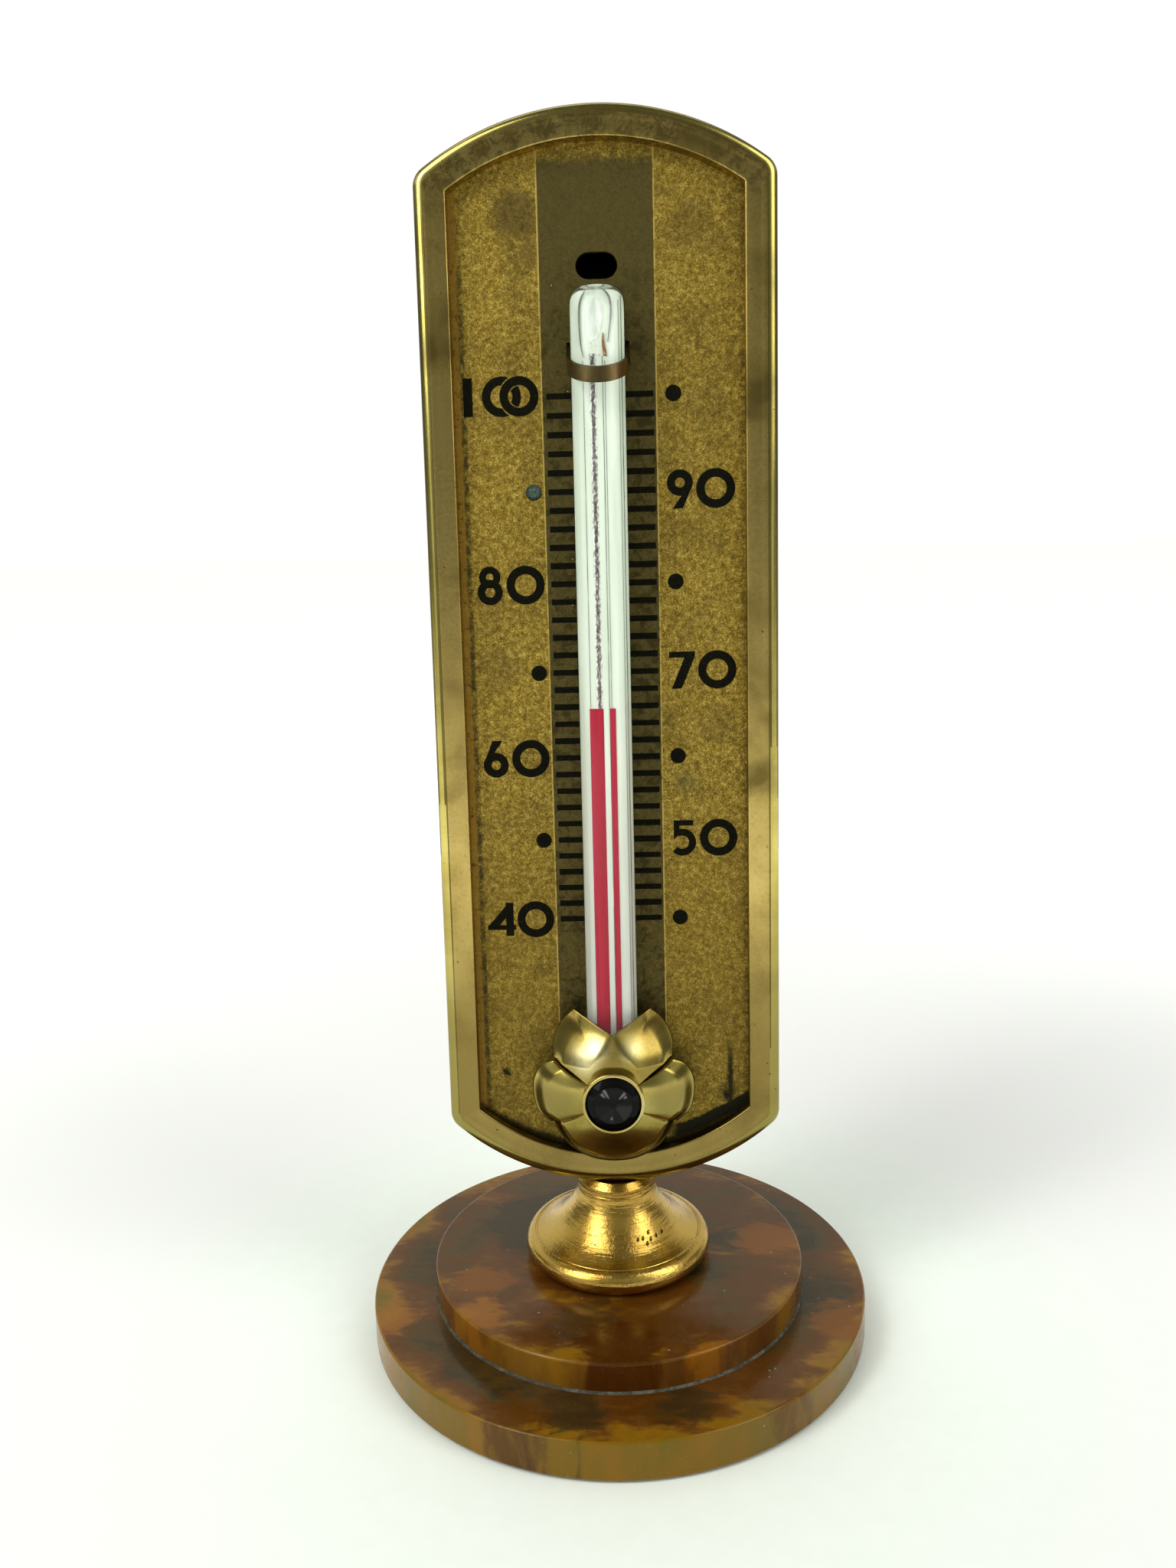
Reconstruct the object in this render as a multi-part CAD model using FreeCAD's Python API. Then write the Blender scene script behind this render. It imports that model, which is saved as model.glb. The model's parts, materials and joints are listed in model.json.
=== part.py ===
import FreeCAD, Part
import math
import os

from FreeCAD import Vector

# Desk thermometer: a glass spirit tube on a brass dial in a pressed brass frame, held up by a turned
# brass pedestal on a two-step cast-resin base. Millimetres, +Z up, the front looks along -Y, and the
# origin is the middle of the felt's underside, where the object stands.

# ---- driving dimensions -------------------------------------------------------------------------

BASE_DIAMETER = 50.8          # two-inch cast rod
UPPER_DIAMETER = 38.0
FELT_PROUD = 0.2              # how far the felt stands out of the base
LOWER_TOP = 4.0
UPPER_TOP = 7.0

PANEL_WIDTH = 33.0
PANEL_BOTTOM = 15.95          # lowest and highest points of the frame's two arcs
PANEL_TOP = 118.35
PANEL_FRONT = -3.1            # front plane of the frame, measured from the pedestal's axis
PANEL_DEPTH = 7.0
TOP_ARC = 26.8                # radius of the panel's arched top edge
BOTTOM_ARC = 23.8             # radius of its rounder bottom edge
PANEL_TILT = 3.0              # degrees that the panel leans back from upright
TILT_HEIGHT = 20.6            # height of the line that the panel is tilted about

SHEET = 0.7                   # frame's brass sheet
BORDER = 3.0                  # flat border round the window
DIAL_RECESS = 1.5             # dial's face behind the frame's front plane
DIAL_THICKNESS = 0.5
TRAY_SHEET = 0.6
FIT_GAP = 0.05                # between pieces that slide into each other on assembly

TUBE_RADIUS = 2.5
TUBE_BOTTOM = 23.5
TUBE_TOP = 102.1
BORE_RADIUS = 0.5
SPIRIT_GAP = 0.05             # clear space round the spirit in its bore
BULB_RADIUS = 1.9
BULB_BOTTOM = 24.8
BULB_TOP = 31.0
CHAMBER_RADIUS = 1.1
CHAMBER_BOTTOM = 95.8
CHAMBER_TOP = 101.6

MARK_40_HEIGHT = 42.87        # the scale's lowest mark, 40 degrees F
MARK_100_HEIGHT = 93.14       # the scale's highest mark, 100 degrees F
SPIRIT_LEVEL = 64.1           # where the spirit stands at rest, about 66 degrees F
MENISCUS_LENGTH = 1.0         # the top slug of spirit, which carries the meniscus
RESERVOIR_TOP = 41.4          # spirit below here never leaves the tube's lower end

FLOWER_CENTRE = 26.4          # height of the flower's middle
FLOWER_SHEET = 0.4
FLOWER_HEIGHT = 4.05          # of the flower's crown in front of the frame
STONE_RADIUS = 2.72
STONE_GAP = 0.01
COLLAR_WALL = 0.3
COLLAR_RIM = 5.0              # the collar's rim in front of the frame
COLLAR_BACK = 3.78            # the collar's foot, inside the flower's crown
STONE_SEAT = FLOWER_HEIGHT + 0.15
STONE_GIRDLE = 4.75
STONE_TABLE = 5.55
TABLE_RADIUS = 1.45
STONE_FACETS = 10

CLIP_HEIGHT = 95.6
CLIP_WIDTH = 1.2
CLIP_SHEET = 0.25
CLIP_SAG = 28.0               # degrees that the strap's front hangs down
CLIP_LEG_PAST = 0.3           # how far a leg goes past the dial before its foot
CLIP_FOOT = 1.4               # how far a foot reaches outwards

SCREW_RADIUS = 1.45
FRAME_SCREW_RADIUS = 0.9
FRAME_SCREW_DEPTH = 0.4       # the frame screw's place behind the pedestal's axis

# ---- sizes worked out from them -----------------------------------------------------------------

HALF_WIDTH = PANEL_WIDTH / 2
PANEL_BACK = PANEL_FRONT + PANEL_DEPTH
DIAL_FRONT = PANEL_FRONT + DIAL_RECESS
DIAL_BACK = DIAL_FRONT + DIAL_THICKNESS
CRIMP = 0.5                   # thickness of the frame's edge where it is folded over the tray
TRAY_BACK = PANEL_BACK - CRIMP
TUBE_AXIS = DIAL_FRONT - TUBE_RADIUS
SPIRIT_RADIUS = BORE_RADIUS - SPIRIT_GAP

UP = Vector(0, 0, 1)
BACKWARD = Vector(0, 1, 0)
SIDEWAYS = Vector(1, 0, 0)


# ---- helpers ------------------------------------------------------------------------------------

def save(shape, node):
    """Write one piece to its own STEP file."""
    shape.exportStep("parts/" + node + ".step")


def cylinder(radius, low, high, x=0.0, y=0.0):
    """Upright cylinder between two heights."""
    return Part.makeCylinder(radius, high - low, Vector(x, y, low), UP)


def across(radius, front, back, x, z):
    """Cylinder whose axis runs front to back."""
    return Part.makeCylinder(radius, back - front, Vector(x, front, z), BACKWARD)


def block(x0, x1, y0, y1, z0, z1):
    """Box between two corners."""
    return Part.makeBox(x1 - x0, y1 - y0, z1 - z0, Vector(x0, y0, z0))


def turned(profile, x=0.0, y=0.0):
    """Solid turned about an upright axis; the profile is a list of (radius, height) points."""
    points = [Vector(x + radius, y, height) for radius, height in profile]
    face = Part.Face(Part.makePolygon(points + [points[0]]))
    return face.revolve(Vector(x, y, 0), UP, 360)


def tilted(shape):
    """Lean a piece of the panel back, from upright to its real place."""
    return shape.rotate(Vector(0, 0, TILT_HEIGHT), SIDEWAYS, -PANEL_TILT)


def arc_drop(radius, half):
    """How far an arc falls from its crest at a half width from its middle."""
    return radius - math.sqrt(radius * radius - half * half)


def panel_prism(inset, front, back, corner=0.0):
    """The panel's outline, moved in by a distance, from a front to a back plane."""
    half = HALF_WIDTH - inset
    top = PANEL_TOP - inset
    bottom = PANEL_BOTTOM + inset
    shoulder = top - arc_drop(TOP_ARC - inset, half)
    hip = bottom + arc_drop(BOTTOM_ARC - inset, half)
    corners = [Vector(-half, front, hip), Vector(-half, front, shoulder),
               Vector(half, front, shoulder), Vector(half, front, hip)]
    edges = [Part.LineSegment(corners[0], corners[1]).toShape(),
             Part.Arc(corners[1], Vector(0, front, top), corners[2]).toShape(),
             Part.LineSegment(corners[2], corners[3]).toShape(),
             Part.Arc(corners[3], Vector(0, front, bottom), corners[0]).toShape()]
    prism = Part.Face(Part.Wire(edges)).extrude(Vector(0, back - front, 0))
    if corner == 0.0:
        return prism
    upright_edges = [edge for edge in prism.Edges
                     if len(edge.Vertexes) == 2 and abs(edge.tangentAt(edge.FirstParameter).y) > 0.9]
    return prism.makeFillet(corner, upright_edges)


def front_edges(shape, plane):
    """Edges of a shape that lie in one plane facing the front."""
    return [edge for edge in shape.Edges
            if abs(edge.BoundBox.YMin - plane) < 0.001 and abs(edge.BoundBox.YMax - plane) < 0.001]


# ---- base ---------------------------------------------------------------------------------------

FELT_RADIUS = 22.0
FELT_TOP = 1.0
WASHER_RADIUS = 3.8
WASHER_BOTTOM = 2.7
WASHER_TOP = 3.2
HEAD_RADIUS = 2.8
HEAD_BOTTOM = 1.15
SCREW_TIP = 11.4
SCREW_TIP_ROOM = 0.4          # empty depth of a screw's hole past its tip
HEAD_ROUND = 0.4
TIP_CHAMFER = 0.4
SLOT_HALF = 0.35              # half the width of the slot in the screw's head
SLOT_DEPTH = 0.7
BASE_HOLE_GAP = 0.15          # clear space round the screw in the resin
WASHER_GAP = 0.1              # between the screw and its washer
COUNTERBORE_GAP = 0.2         # between the washer and the resin round it
FELT_GAP = 0.1
EDGE_BREAK = 0.25             # polished edges of the resin discs
CEMENT_SIZE = 0.2


def resin_disc(radius, low, high):
    """Polished disc with broken edges and the screw's clearance hole."""
    disc = cylinder(radius, low, high)
    disc = disc.makeFillet(EDGE_BREAK, [edge for edge in disc.Edges if edge.Length > 2 * radius])
    return disc.cut(cylinder(SCREW_RADIUS + BASE_HOLE_GAP, low, high))


def base_lower_disc():
    """Lower step, with a pocket for the felt and a counterbore for the screw's head."""
    disc = resin_disc(BASE_DIAMETER / 2, FELT_PROUD, LOWER_TOP)
    disc = disc.cut(cylinder(FELT_RADIUS + FELT_GAP, 0, FELT_TOP))
    return disc.cut(cylinder(WASHER_RADIUS + COUNTERBORE_GAP, FELT_TOP, WASHER_TOP))


def base_upper_disc():
    """Upper step, cemented on the lower one."""
    return resin_disc(UPPER_DIAMETER / 2, LOWER_TOP, UPPER_TOP)


def cement_bead():
    """The thin fillet of cement squeezed out round the joint of the two discs."""
    inner = UPPER_DIAMETER / 2
    return turned([(inner, LOWER_TOP), (inner + CEMENT_SIZE, LOWER_TOP), (inner, LOWER_TOP + CEMENT_SIZE)])


def felt_pad():
    """Felt disc glued in the underside; it hides the screw."""
    return cylinder(FELT_RADIUS, 0, FELT_TOP)


def base_washer():
    """Plain steel washer under the screw's head."""
    return cylinder(WASHER_RADIUS, WASHER_BOTTOM, WASHER_TOP).cut(
        cylinder(SCREW_RADIUS + WASHER_GAP, WASHER_BOTTOM, WASHER_TOP))


def base_screw():
    """Slotted screw that pulls the pedestal down on the base."""
    head = cylinder(HEAD_RADIUS, HEAD_BOTTOM, WASHER_BOTTOM)
    rim = [edge for edge in head.Edges if edge.BoundBox.ZMax < HEAD_BOTTOM + 0.01]
    head = head.makeFillet(HEAD_ROUND, rim)
    shank = cylinder(SCREW_RADIUS, WASHER_BOTTOM, SCREW_TIP)
    tip = [edge for edge in shank.Edges if edge.BoundBox.ZMin > SCREW_TIP - 0.01]
    shank = shank.makeChamfer(TIP_CHAMFER, tip)
    slot = block(-HEAD_RADIUS, HEAD_RADIUS, -SLOT_HALF, SLOT_HALF, HEAD_BOTTOM, HEAD_BOTTOM + SLOT_DEPTH)
    return head.fuse(shank).cut(slot).removeSplitter()


# ---- pedestal -----------------------------------------------------------------------------------

BEAD_RADIUS = 9.55
BEAD_ROUND = 0.5              # how far the bead's lower edge is in from its widest part
BEAD_BOTTOM = 7.35
BEAD_TOP = 9.6
FOOT_RADIUS = 8.0
BELL_RADIUS = 8.6
# radius and height along the bell, from its rim up to the neck
BELL_CURVE = ((8.35, 9.6), (7.0, 10.3), (5.75, 11.4), (4.8, 12.6), (4.2, 13.7))
NECK_RADIUS = 4.0
NECK_HEIGHT = 14.6            # of the turned groove below the frame
GROOVE = 0.1                  # depth of the turned grooves, and half their width
SADDLE_TOP = PANEL_BOTTOM + 0.1
SADDLE_CHAMFER = 0.6


def pedestal():
    """Turned bell with a rounded rim, narrowed to a neck; the frame sits in a saddle on its top."""
    def point(radius, height):
        return Vector(radius, 0, height)

    middle = (BEAD_BOTTOM + BEAD_TOP) / 2
    edges = []

    def run(*points):
        """Add a straight edge, an arc or a curve, by the number of its points."""
        if len(points) == 2:
            edges.append(Part.LineSegment(*points).toShape())
        elif len(points) == 3:
            edges.append(Part.Arc(*points).toShape())
        else:
            curve = Part.BSplineCurve()
            curve.interpolate(list(points))
            edges.append(curve.toShape())

    run(point(0, UPPER_TOP), point(FOOT_RADIUS, UPPER_TOP))
    run(point(FOOT_RADIUS, UPPER_TOP), point(FOOT_RADIUS, BEAD_BOTTOM))
    run(point(FOOT_RADIUS, BEAD_BOTTOM), point(BEAD_RADIUS - BEAD_ROUND, BEAD_BOTTOM))
    run(point(BEAD_RADIUS - BEAD_ROUND, BEAD_BOTTOM), point(BEAD_RADIUS, middle),
        point(BELL_RADIUS, BEAD_TOP))
    run(point(BELL_RADIUS, BEAD_TOP), point(BELL_RADIUS - GROOVE, BEAD_TOP - GROOVE),
        point(*BELL_CURVE[0]))
    run(*(point(*place) for place in BELL_CURVE), point(NECK_RADIUS, NECK_HEIGHT))
    run(point(NECK_RADIUS, NECK_HEIGHT), point(NECK_RADIUS - GROOVE, NECK_HEIGHT + GROOVE),
        point(NECK_RADIUS, NECK_HEIGHT + 2 * GROOVE))
    run(point(NECK_RADIUS, NECK_HEIGHT + 2 * GROOVE), point(NECK_RADIUS, SADDLE_TOP - SADDLE_CHAMFER))
    run(point(NECK_RADIUS, SADDLE_TOP - SADDLE_CHAMFER), point(NECK_RADIUS - SADDLE_CHAMFER, SADDLE_TOP))
    run(point(NECK_RADIUS - SADDLE_CHAMFER, SADDLE_TOP), point(0, SADDLE_TOP))
    run(point(0, SADDLE_TOP), point(0, UPPER_TOP))
    body = Part.Face(Part.Wire(edges)).revolve(Vector(0, 0, 0), UP, 360)

    saddle = tilted(panel_prism(0, -20, 20))
    base_hole = cylinder(SCREW_RADIUS + FIT_GAP, UPPER_TOP, SCREW_TIP + SCREW_TIP_ROOM)
    frame_hole = tilted(cylinder(FRAME_SCREW_RADIUS + FIT_GAP, FRAME_SCREW_TIP - 0.3, PANEL_BOTTOM + 1,
                                 y=FRAME_SCREW_DEPTH))
    return body.cut(saddle).cut(base_hole).cut(frame_hole)


# ---- frame, dial and back -----------------------------------------------------------------------

CORNER = 2.0
RIM_WIDTH = 1.6               # raised round rim along the frame's outer edge
RIM_HEIGHT = 0.35
RIM_CORNER = 0.7
RIM_OUTER_ROUND = 0.8
RIM_INNER_ROUND = 0.34
WINDOW_SHEET = 0.5            # turned-in edge of the window
WINDOW_ROUND = 0.12
CRIMP_WIDTH = 1.0
FRAME_HEAD_RADIUS = 1.35
FRAME_HEAD_HEIGHT = 1.1
FRAME_HEAD_SEAT = PANEL_BOTTOM + SHEET + FIT_GAP + TRAY_SHEET + 0.06
FRAME_SCREW_TIP = 12.2


def frame_shell():
    """Pressed frame: raised rim, flat border, window with a turned-in edge, and a crimped back."""
    border_front = PANEL_FRONT + RIM_HEIGHT
    border_back = border_front + SHEET
    outside = panel_prism(0, PANEL_FRONT, PANEL_BACK, CORNER)
    outside = outside.makeFillet(RIM_OUTER_ROUND, front_edges(outside, PANEL_FRONT))
    outside = outside.cut(panel_prism(RIM_WIDTH, PANEL_FRONT, border_front, RIM_CORNER))
    rim_edges = [edge for edge in front_edges(outside, PANEL_FRONT)
                 if edge.BoundBox.XMax < HALF_WIDTH - RIM_WIDTH + 0.01
                 and edge.BoundBox.XMin > RIM_WIDTH - HALF_WIDTH - 0.01]
    outside = outside.makeFillet(RIM_INNER_ROUND, rim_edges)
    cavity = panel_prism(SHEET, border_back, TRAY_BACK, CORNER - SHEET)
    mouth = panel_prism(CRIMP_WIDTH + SHEET, TRAY_BACK, PANEL_BACK)
    lip = panel_prism(BORDER - WINDOW_SHEET, border_back, DIAL_FRONT)
    window = panel_prism(BORDER, PANEL_FRONT, DIAL_FRONT)
    shell = outside.cut(cavity).cut(mouth).fuse(lip).cut(window)
    window_edges = [edge for edge in front_edges(shell, border_front)
                    if edge.BoundBox.XMax < HALF_WIDTH - BORDER + 0.01
                    and edge.BoundBox.XMin > BORDER - HALF_WIDTH - 0.01]
    shell = shell.makeFillet(WINDOW_ROUND, window_edges)
    screw_hole = cylinder(FRAME_SCREW_RADIUS + 0.1, PANEL_BOTTOM - 1, PANEL_BOTTOM + 1.2,
                          y=FRAME_SCREW_DEPTH)
    return tilted(shell.cut(screw_hole).removeSplitter())


HOLE_HALF = 0.73              # the oblong hole near the dial's top
HOLE_RADIUS = 1.2
HOLE_HEIGHT = 104.65
TAB_SLOT_X = 6.5              # the flower's two tabs go through the dial here
TAB_HEIGHT = 25.2
TAB_WIDTH = 2.0
TAB_HALF = 0.2                # half the tab's thickness
TAB_PLAY = 0.15               # clear space round a tab in its slot
TAB_REACH = 1.4               # folded length of a tab behind the dial
TAB_START = 1.9               # where a tab leaves the flower, in front of the frame
TAB_GAP = 0.1                 # between a folded tab and the dial
CLIP_SLOT_HALF = 1.0
CLIP_SLOT_RISE = (DIAL_FRONT - TUBE_AXIS) * math.tan(math.radians(CLIP_SAG))


def dial_plate():
    """Flat brass plate that carries the scale, held against the window's turned-in edge."""
    plate = panel_prism(SHEET + 0.15, DIAL_FRONT, DIAL_BACK, CORNER - SHEET)
    plate = plate.cut(block(-HOLE_HALF, HOLE_HALF, DIAL_FRONT, DIAL_BACK,
                            HOLE_HEIGHT - HOLE_RADIUS, HOLE_HEIGHT + HOLE_RADIUS))
    for side in (-1, 1):
        plate = plate.cut(across(HOLE_RADIUS, DIAL_FRONT, DIAL_BACK, side * HOLE_HALF, HOLE_HEIGHT))
        slot_x = side * (TUBE_RADIUS + FIT_GAP + CLIP_SHEET / 2)
        slot_z = CLIP_HEIGHT + CLIP_SLOT_RISE
        plate = plate.cut(block(slot_x - CLIP_SHEET, slot_x + CLIP_SHEET, DIAL_FRONT, DIAL_BACK,
                                slot_z - CLIP_SLOT_HALF, slot_z + CLIP_SLOT_HALF))
        tab_x = side * TAB_SLOT_X
        half = TAB_WIDTH / 2 + TAB_PLAY
        plate = plate.cut(block(tab_x - TAB_HALF - TAB_PLAY, tab_x + TAB_HALF + TAB_PLAY,
                                DIAL_FRONT, DIAL_BACK, TAB_HEIGHT - half, TAB_HEIGHT + half))
    return tilted(plate)


def back_tray():
    """Pressed tray that closes the back; its wall holds the dial forward."""
    inset = SHEET + FIT_GAP
    tray = panel_prism(inset, DIAL_BACK, TRAY_BACK, CORNER - SHEET)
    hollow = panel_prism(inset + TRAY_SHEET, DIAL_BACK, TRAY_BACK - TRAY_SHEET)
    screw_hole = cylinder(FRAME_SCREW_RADIUS + 0.1, PANEL_BOTTOM, FRAME_HEAD_SEAT + 1,
                          y=FRAME_SCREW_DEPTH)
    return tilted(tray.cut(hollow).cut(screw_hole))


def frame_screw():
    """Cheese-head screw from inside the frame down into the pedestal."""
    head = cylinder(FRAME_HEAD_RADIUS, FRAME_HEAD_SEAT, FRAME_HEAD_SEAT + FRAME_HEAD_HEIGHT,
                    y=FRAME_SCREW_DEPTH)
    shank = cylinder(FRAME_SCREW_RADIUS, FRAME_SCREW_TIP, FRAME_HEAD_SEAT, y=FRAME_SCREW_DEPTH)
    top = FRAME_HEAD_SEAT + FRAME_HEAD_HEIGHT
    slot = block(-2, 2, FRAME_SCREW_DEPTH - 0.2, FRAME_SCREW_DEPTH + 0.2, top - 0.45, top)
    return tilted(head.fuse(shank).cut(slot).removeSplitter())


# ---- glass tube and spirit ----------------------------------------------------------------------

def rounded_rod(radius, low, high, round_low, round_high):
    """Upright rod on the tube's axis whose two ends are rounded."""
    rod = cylinder(radius, low, high, y=TUBE_AXIS)
    if round_low:
        rod = rod.makeFillet(round_low, [edge for edge in rod.Edges if edge.BoundBox.ZMax < low + 0.01])
    if round_high:
        rod = rod.makeFillet(round_high, [edge for edge in rod.Edges if edge.BoundBox.ZMin > high - 0.01])
    return rod


def glass_tube():
    """Glass rod with a bulb, a fine bore and an expansion chamber inside."""
    glass = rounded_rod(TUBE_RADIUS, TUBE_BOTTOM, TUBE_TOP, 1.6, 1.3)
    bulb = rounded_rod(BULB_RADIUS, BULB_BOTTOM, BULB_TOP, 1.0, 1.3)
    bore = cylinder(BORE_RADIUS, BULB_TOP - 0.5, CHAMBER_BOTTOM + 0.5, y=TUBE_AXIS)
    chamber = rounded_rod(CHAMBER_RADIUS, CHAMBER_BOTTOM, CHAMBER_TOP, 0.7, 1.0)
    return tilted(glass.cut(bulb.fuse(bore).fuse(chamber)))


def spirit_reservoir():
    """Spirit in the bulb and the lowest part of the bore."""
    bulb = rounded_rod(BULB_RADIUS - SPIRIT_GAP, BULB_BOTTOM + SPIRIT_GAP, BULB_TOP - SPIRIT_GAP, 1.0, 1.3)
    thread = cylinder(SPIRIT_RADIUS, BULB_TOP - 0.5, RESERVOIR_TOP, y=TUBE_AXIS)
    return tilted(bulb.fuse(thread))


def spirit_column():
    """The thread of spirit that grows and shrinks between the reservoir and the top slug."""
    return tilted(cylinder(SPIRIT_RADIUS, RESERVOIR_TOP, SPIRIT_LEVEL - MENISCUS_LENGTH, y=TUBE_AXIS))


def spirit_meniscus():
    """The top slug of spirit; its upper face is hollow where it climbs the glass."""
    slug = cylinder(SPIRIT_RADIUS, SPIRIT_LEVEL - MENISCUS_LENGTH, SPIRIT_LEVEL, y=TUBE_AXIS)
    bowl_radius = 0.6
    bowl_rise = math.sqrt(bowl_radius ** 2 - (SPIRIT_RADIUS - 0.05) ** 2)
    bowl = Part.makeSphere(bowl_radius, Vector(0, TUBE_AXIS, SPIRIT_LEVEL + bowl_rise))
    return tilted(slug.cut(bowl))


def tube_clip():
    """Brass strap round the tube whose two legs go through the dial and are folded outwards."""
    inner = TUBE_RADIUS + FIT_GAP
    outer = inner + CLIP_SHEET
    leg_end = DIAL_BACK + CLIP_LEG_PAST
    foot_reach = outer + CLIP_FOOT
    low = CLIP_HEIGHT - 4
    high = CLIP_HEIGHT + 4
    bend = cylinder(outer, low, high, y=TUBE_AXIS)
    legs = block(-outer, outer, TUBE_AXIS, leg_end, low, high)
    feet = block(-foot_reach, foot_reach, leg_end, leg_end + CLIP_SHEET, low, high)
    hollow = cylinder(inner, low, high, y=TUBE_AXIS)
    between_legs = block(-inner, inner, TUBE_AXIS, leg_end + CLIP_SHEET, low, high)
    strap = bend.fuse(legs).fuse(feet).cut(hollow).cut(between_legs)
    slice_of_strap = block(-10, 10, TUBE_AXIS - 10, TUBE_AXIS + 10,
                           CLIP_HEIGHT - CLIP_WIDTH / 2, CLIP_HEIGHT + CLIP_WIDTH / 2)
    slice_of_strap = slice_of_strap.rotate(Vector(0, TUBE_AXIS, CLIP_HEIGHT), SIDEWAYS, CLIP_SAG)
    return tilted(strap.common(slice_of_strap).removeSplitter())


# ---- flower over the bulb -----------------------------------------------------------------------

# Crown of the flower: distance from its middle and height in front of the frame.
CROWN = [(0, FLOWER_HEIGHT), (3.0, 3.9), (5.0, 3.0), (6.5, 2.0), (8.0, 0.6), (9.4, -0.5)]
RIDGE_RADIUS = TUBE_RADIUS + FIT_GAP + FLOWER_SHEET

# Right half of the petals' outline, from the notch over the tube round to the lowest point. Each
# petal is one run of points, and neighbouring petals meet at the end of a run.
NOTCH = (0, 32.75)
UPPER_TIP = (3.8, 34.75)
PETALS = [
    [UPPER_TIP, (5.2, 32.8), (5.85, 31.2), (5.75, 29.7)],
    [(5.75, 29.7), (7.2, 28.6), (8.05, 26.6), (7.6, 24.2), (6.2, 23.2)],
    [(6.2, 23.2), (5.7, 21.6), (3.6, 19.6), (0, 18.5)],
]


def crown_solid(lift):
    """Domed solid in front of the dial, its surface moved forward by a lift."""
    outline = [Vector(radius, PANEL_FRONT - height - lift, FLOWER_CENTRE) for radius, height in CROWN]
    curve = Part.BSplineCurve()
    curve.interpolate(outline)
    foot_y = DIAL_FRONT - 0.3
    rim = Vector(CROWN[-1][0], foot_y, FLOWER_CENTRE)
    middle = Vector(0, foot_y, FLOWER_CENTRE)
    edges = [curve.toShape(), Part.LineSegment(outline[-1], rim).toShape(),
             Part.LineSegment(rim, middle).toShape(), Part.LineSegment(middle, outline[0]).toShape()]
    face = Part.Face(Part.Wire(edges))
    return face.revolve(Vector(0, 0, FLOWER_CENTRE), BACKWARD, 360)


def petal_prism():
    """The petals' outline as a prism from in front of the flower back to the dial."""
    def place(point, side):
        return Vector(side * point[0], -20, point[1])

    edges = [Part.LineSegment(place(NOTCH, side), place(UPPER_TIP, side)).toShape() for side in (-1, 1)]
    for side in (-1, 1):
        for petal in PETALS:
            curve = Part.BSplineCurve()
            curve.interpolate([place(point, side) for point in petal])
            edges.append(curve.toShape())
    outline = Part.Wire(Part.__sortEdges__(edges))
    return Part.Face(outline).extrude(Vector(0, 20 + DIAL_FRONT - 0.3, 0))


def ridge(radius, low):
    """Upright ridge over the tube, from a height inside the flower to above its notch."""
    return cylinder(radius, low, NOTCH[1] + 1.5, y=TUBE_AXIS)


def flower_cover():
    """Pressed brass flower that hides the bulb; two tabs hold it through the dial."""
    outer = crown_solid(0).fuse(ridge(RIDGE_RADIUS, FLOWER_CENTRE))
    inner = crown_solid(-FLOWER_SHEET).fuse(ridge(RIDGE_RADIUS - FLOWER_SHEET, FLOWER_CENTRE - 1))
    flower = outer.common(petal_prism()).cut(inner)
    flower = flower.cut(block(-TUBE_RADIUS, TUBE_RADIUS, TUBE_AXIS, DIAL_FRONT, FLOWER_CENTRE, NOTCH[1]))
    for side in (-1, 1):
        tab_front = PANEL_FRONT - TAB_START
        tab_end = DIAL_BACK + TAB_GAP
        low = TAB_HEIGHT - TAB_WIDTH / 2
        high = TAB_HEIGHT + TAB_WIDTH / 2
        x = side * TAB_SLOT_X
        flower = flower.fuse(block(x - TAB_HALF, x + TAB_HALF, tab_front, tab_end, low, high))
        toe = x + side * TAB_REACH
        foot = block(min(x - TAB_HALF, toe), max(x + TAB_HALF, toe),
                     tab_end, tab_end + 2 * TAB_HALF, low, high)
        flower = flower.fuse(foot)
    return tilted(flower.removeSplitter())


def stone_collar():
    """Round brass cup soldered on the flower's middle, its rim closed over the stone."""
    rim = PANEL_FRONT - COLLAR_RIM
    outer = across(STONE_RADIUS + COLLAR_WALL, rim, PANEL_FRONT - COLLAR_BACK, 0, FLOWER_CENTRE)
    outer = outer.makeFillet(COLLAR_WALL / 2, front_edges(outer, rim)[:1])
    outer = outer.cut(crown_solid(0)).cut(ridge(RIDGE_RADIUS, FLOWER_CENTRE))
    pocket = across(STONE_RADIUS, rim, PANEL_FRONT - STONE_SEAT, 0, FLOWER_CENTRE)
    return tilted(outer.cut(pocket))


def black_stone():
    """Black glass stone: round girdle, faceted crown and a small flat table."""
    back = PANEL_FRONT - STONE_SEAT
    girdle = PANEL_FRONT - STONE_GIRDLE
    table = PANEL_FRONT - STONE_TABLE
    body = across(STONE_RADIUS - STONE_GAP, table, back, 0, FLOWER_CENTRE)

    def polygon(radius, y):
        corners = [Vector(radius * math.sin(2 * math.pi * turn / STONE_FACETS), y,
                          FLOWER_CENTRE + radius * math.cos(2 * math.pi * turn / STONE_FACETS))
                   for turn in range(STONE_FACETS)]
        return Part.makePolygon(corners + [corners[0]])

    outside = STONE_RADIUS / math.cos(math.pi / STONE_FACETS)
    crown = Part.makeLoft([polygon(outside, back), polygon(outside, girdle), polygon(TABLE_RADIUS, table)],
                          True, True)
    return tilted(body.common(crown))


# ---- every piece --------------------------------------------------------------------------------

PIECES = [
    base_lower_disc, base_upper_disc, cement_bead, felt_pad, base_washer, base_screw, pedestal,
    frame_shell, dial_plate, back_tray, frame_screw, glass_tube, spirit_reservoir, spirit_column,
    spirit_meniscus, tube_clip, flower_cover, stone_collar, black_stone,
]

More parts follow.
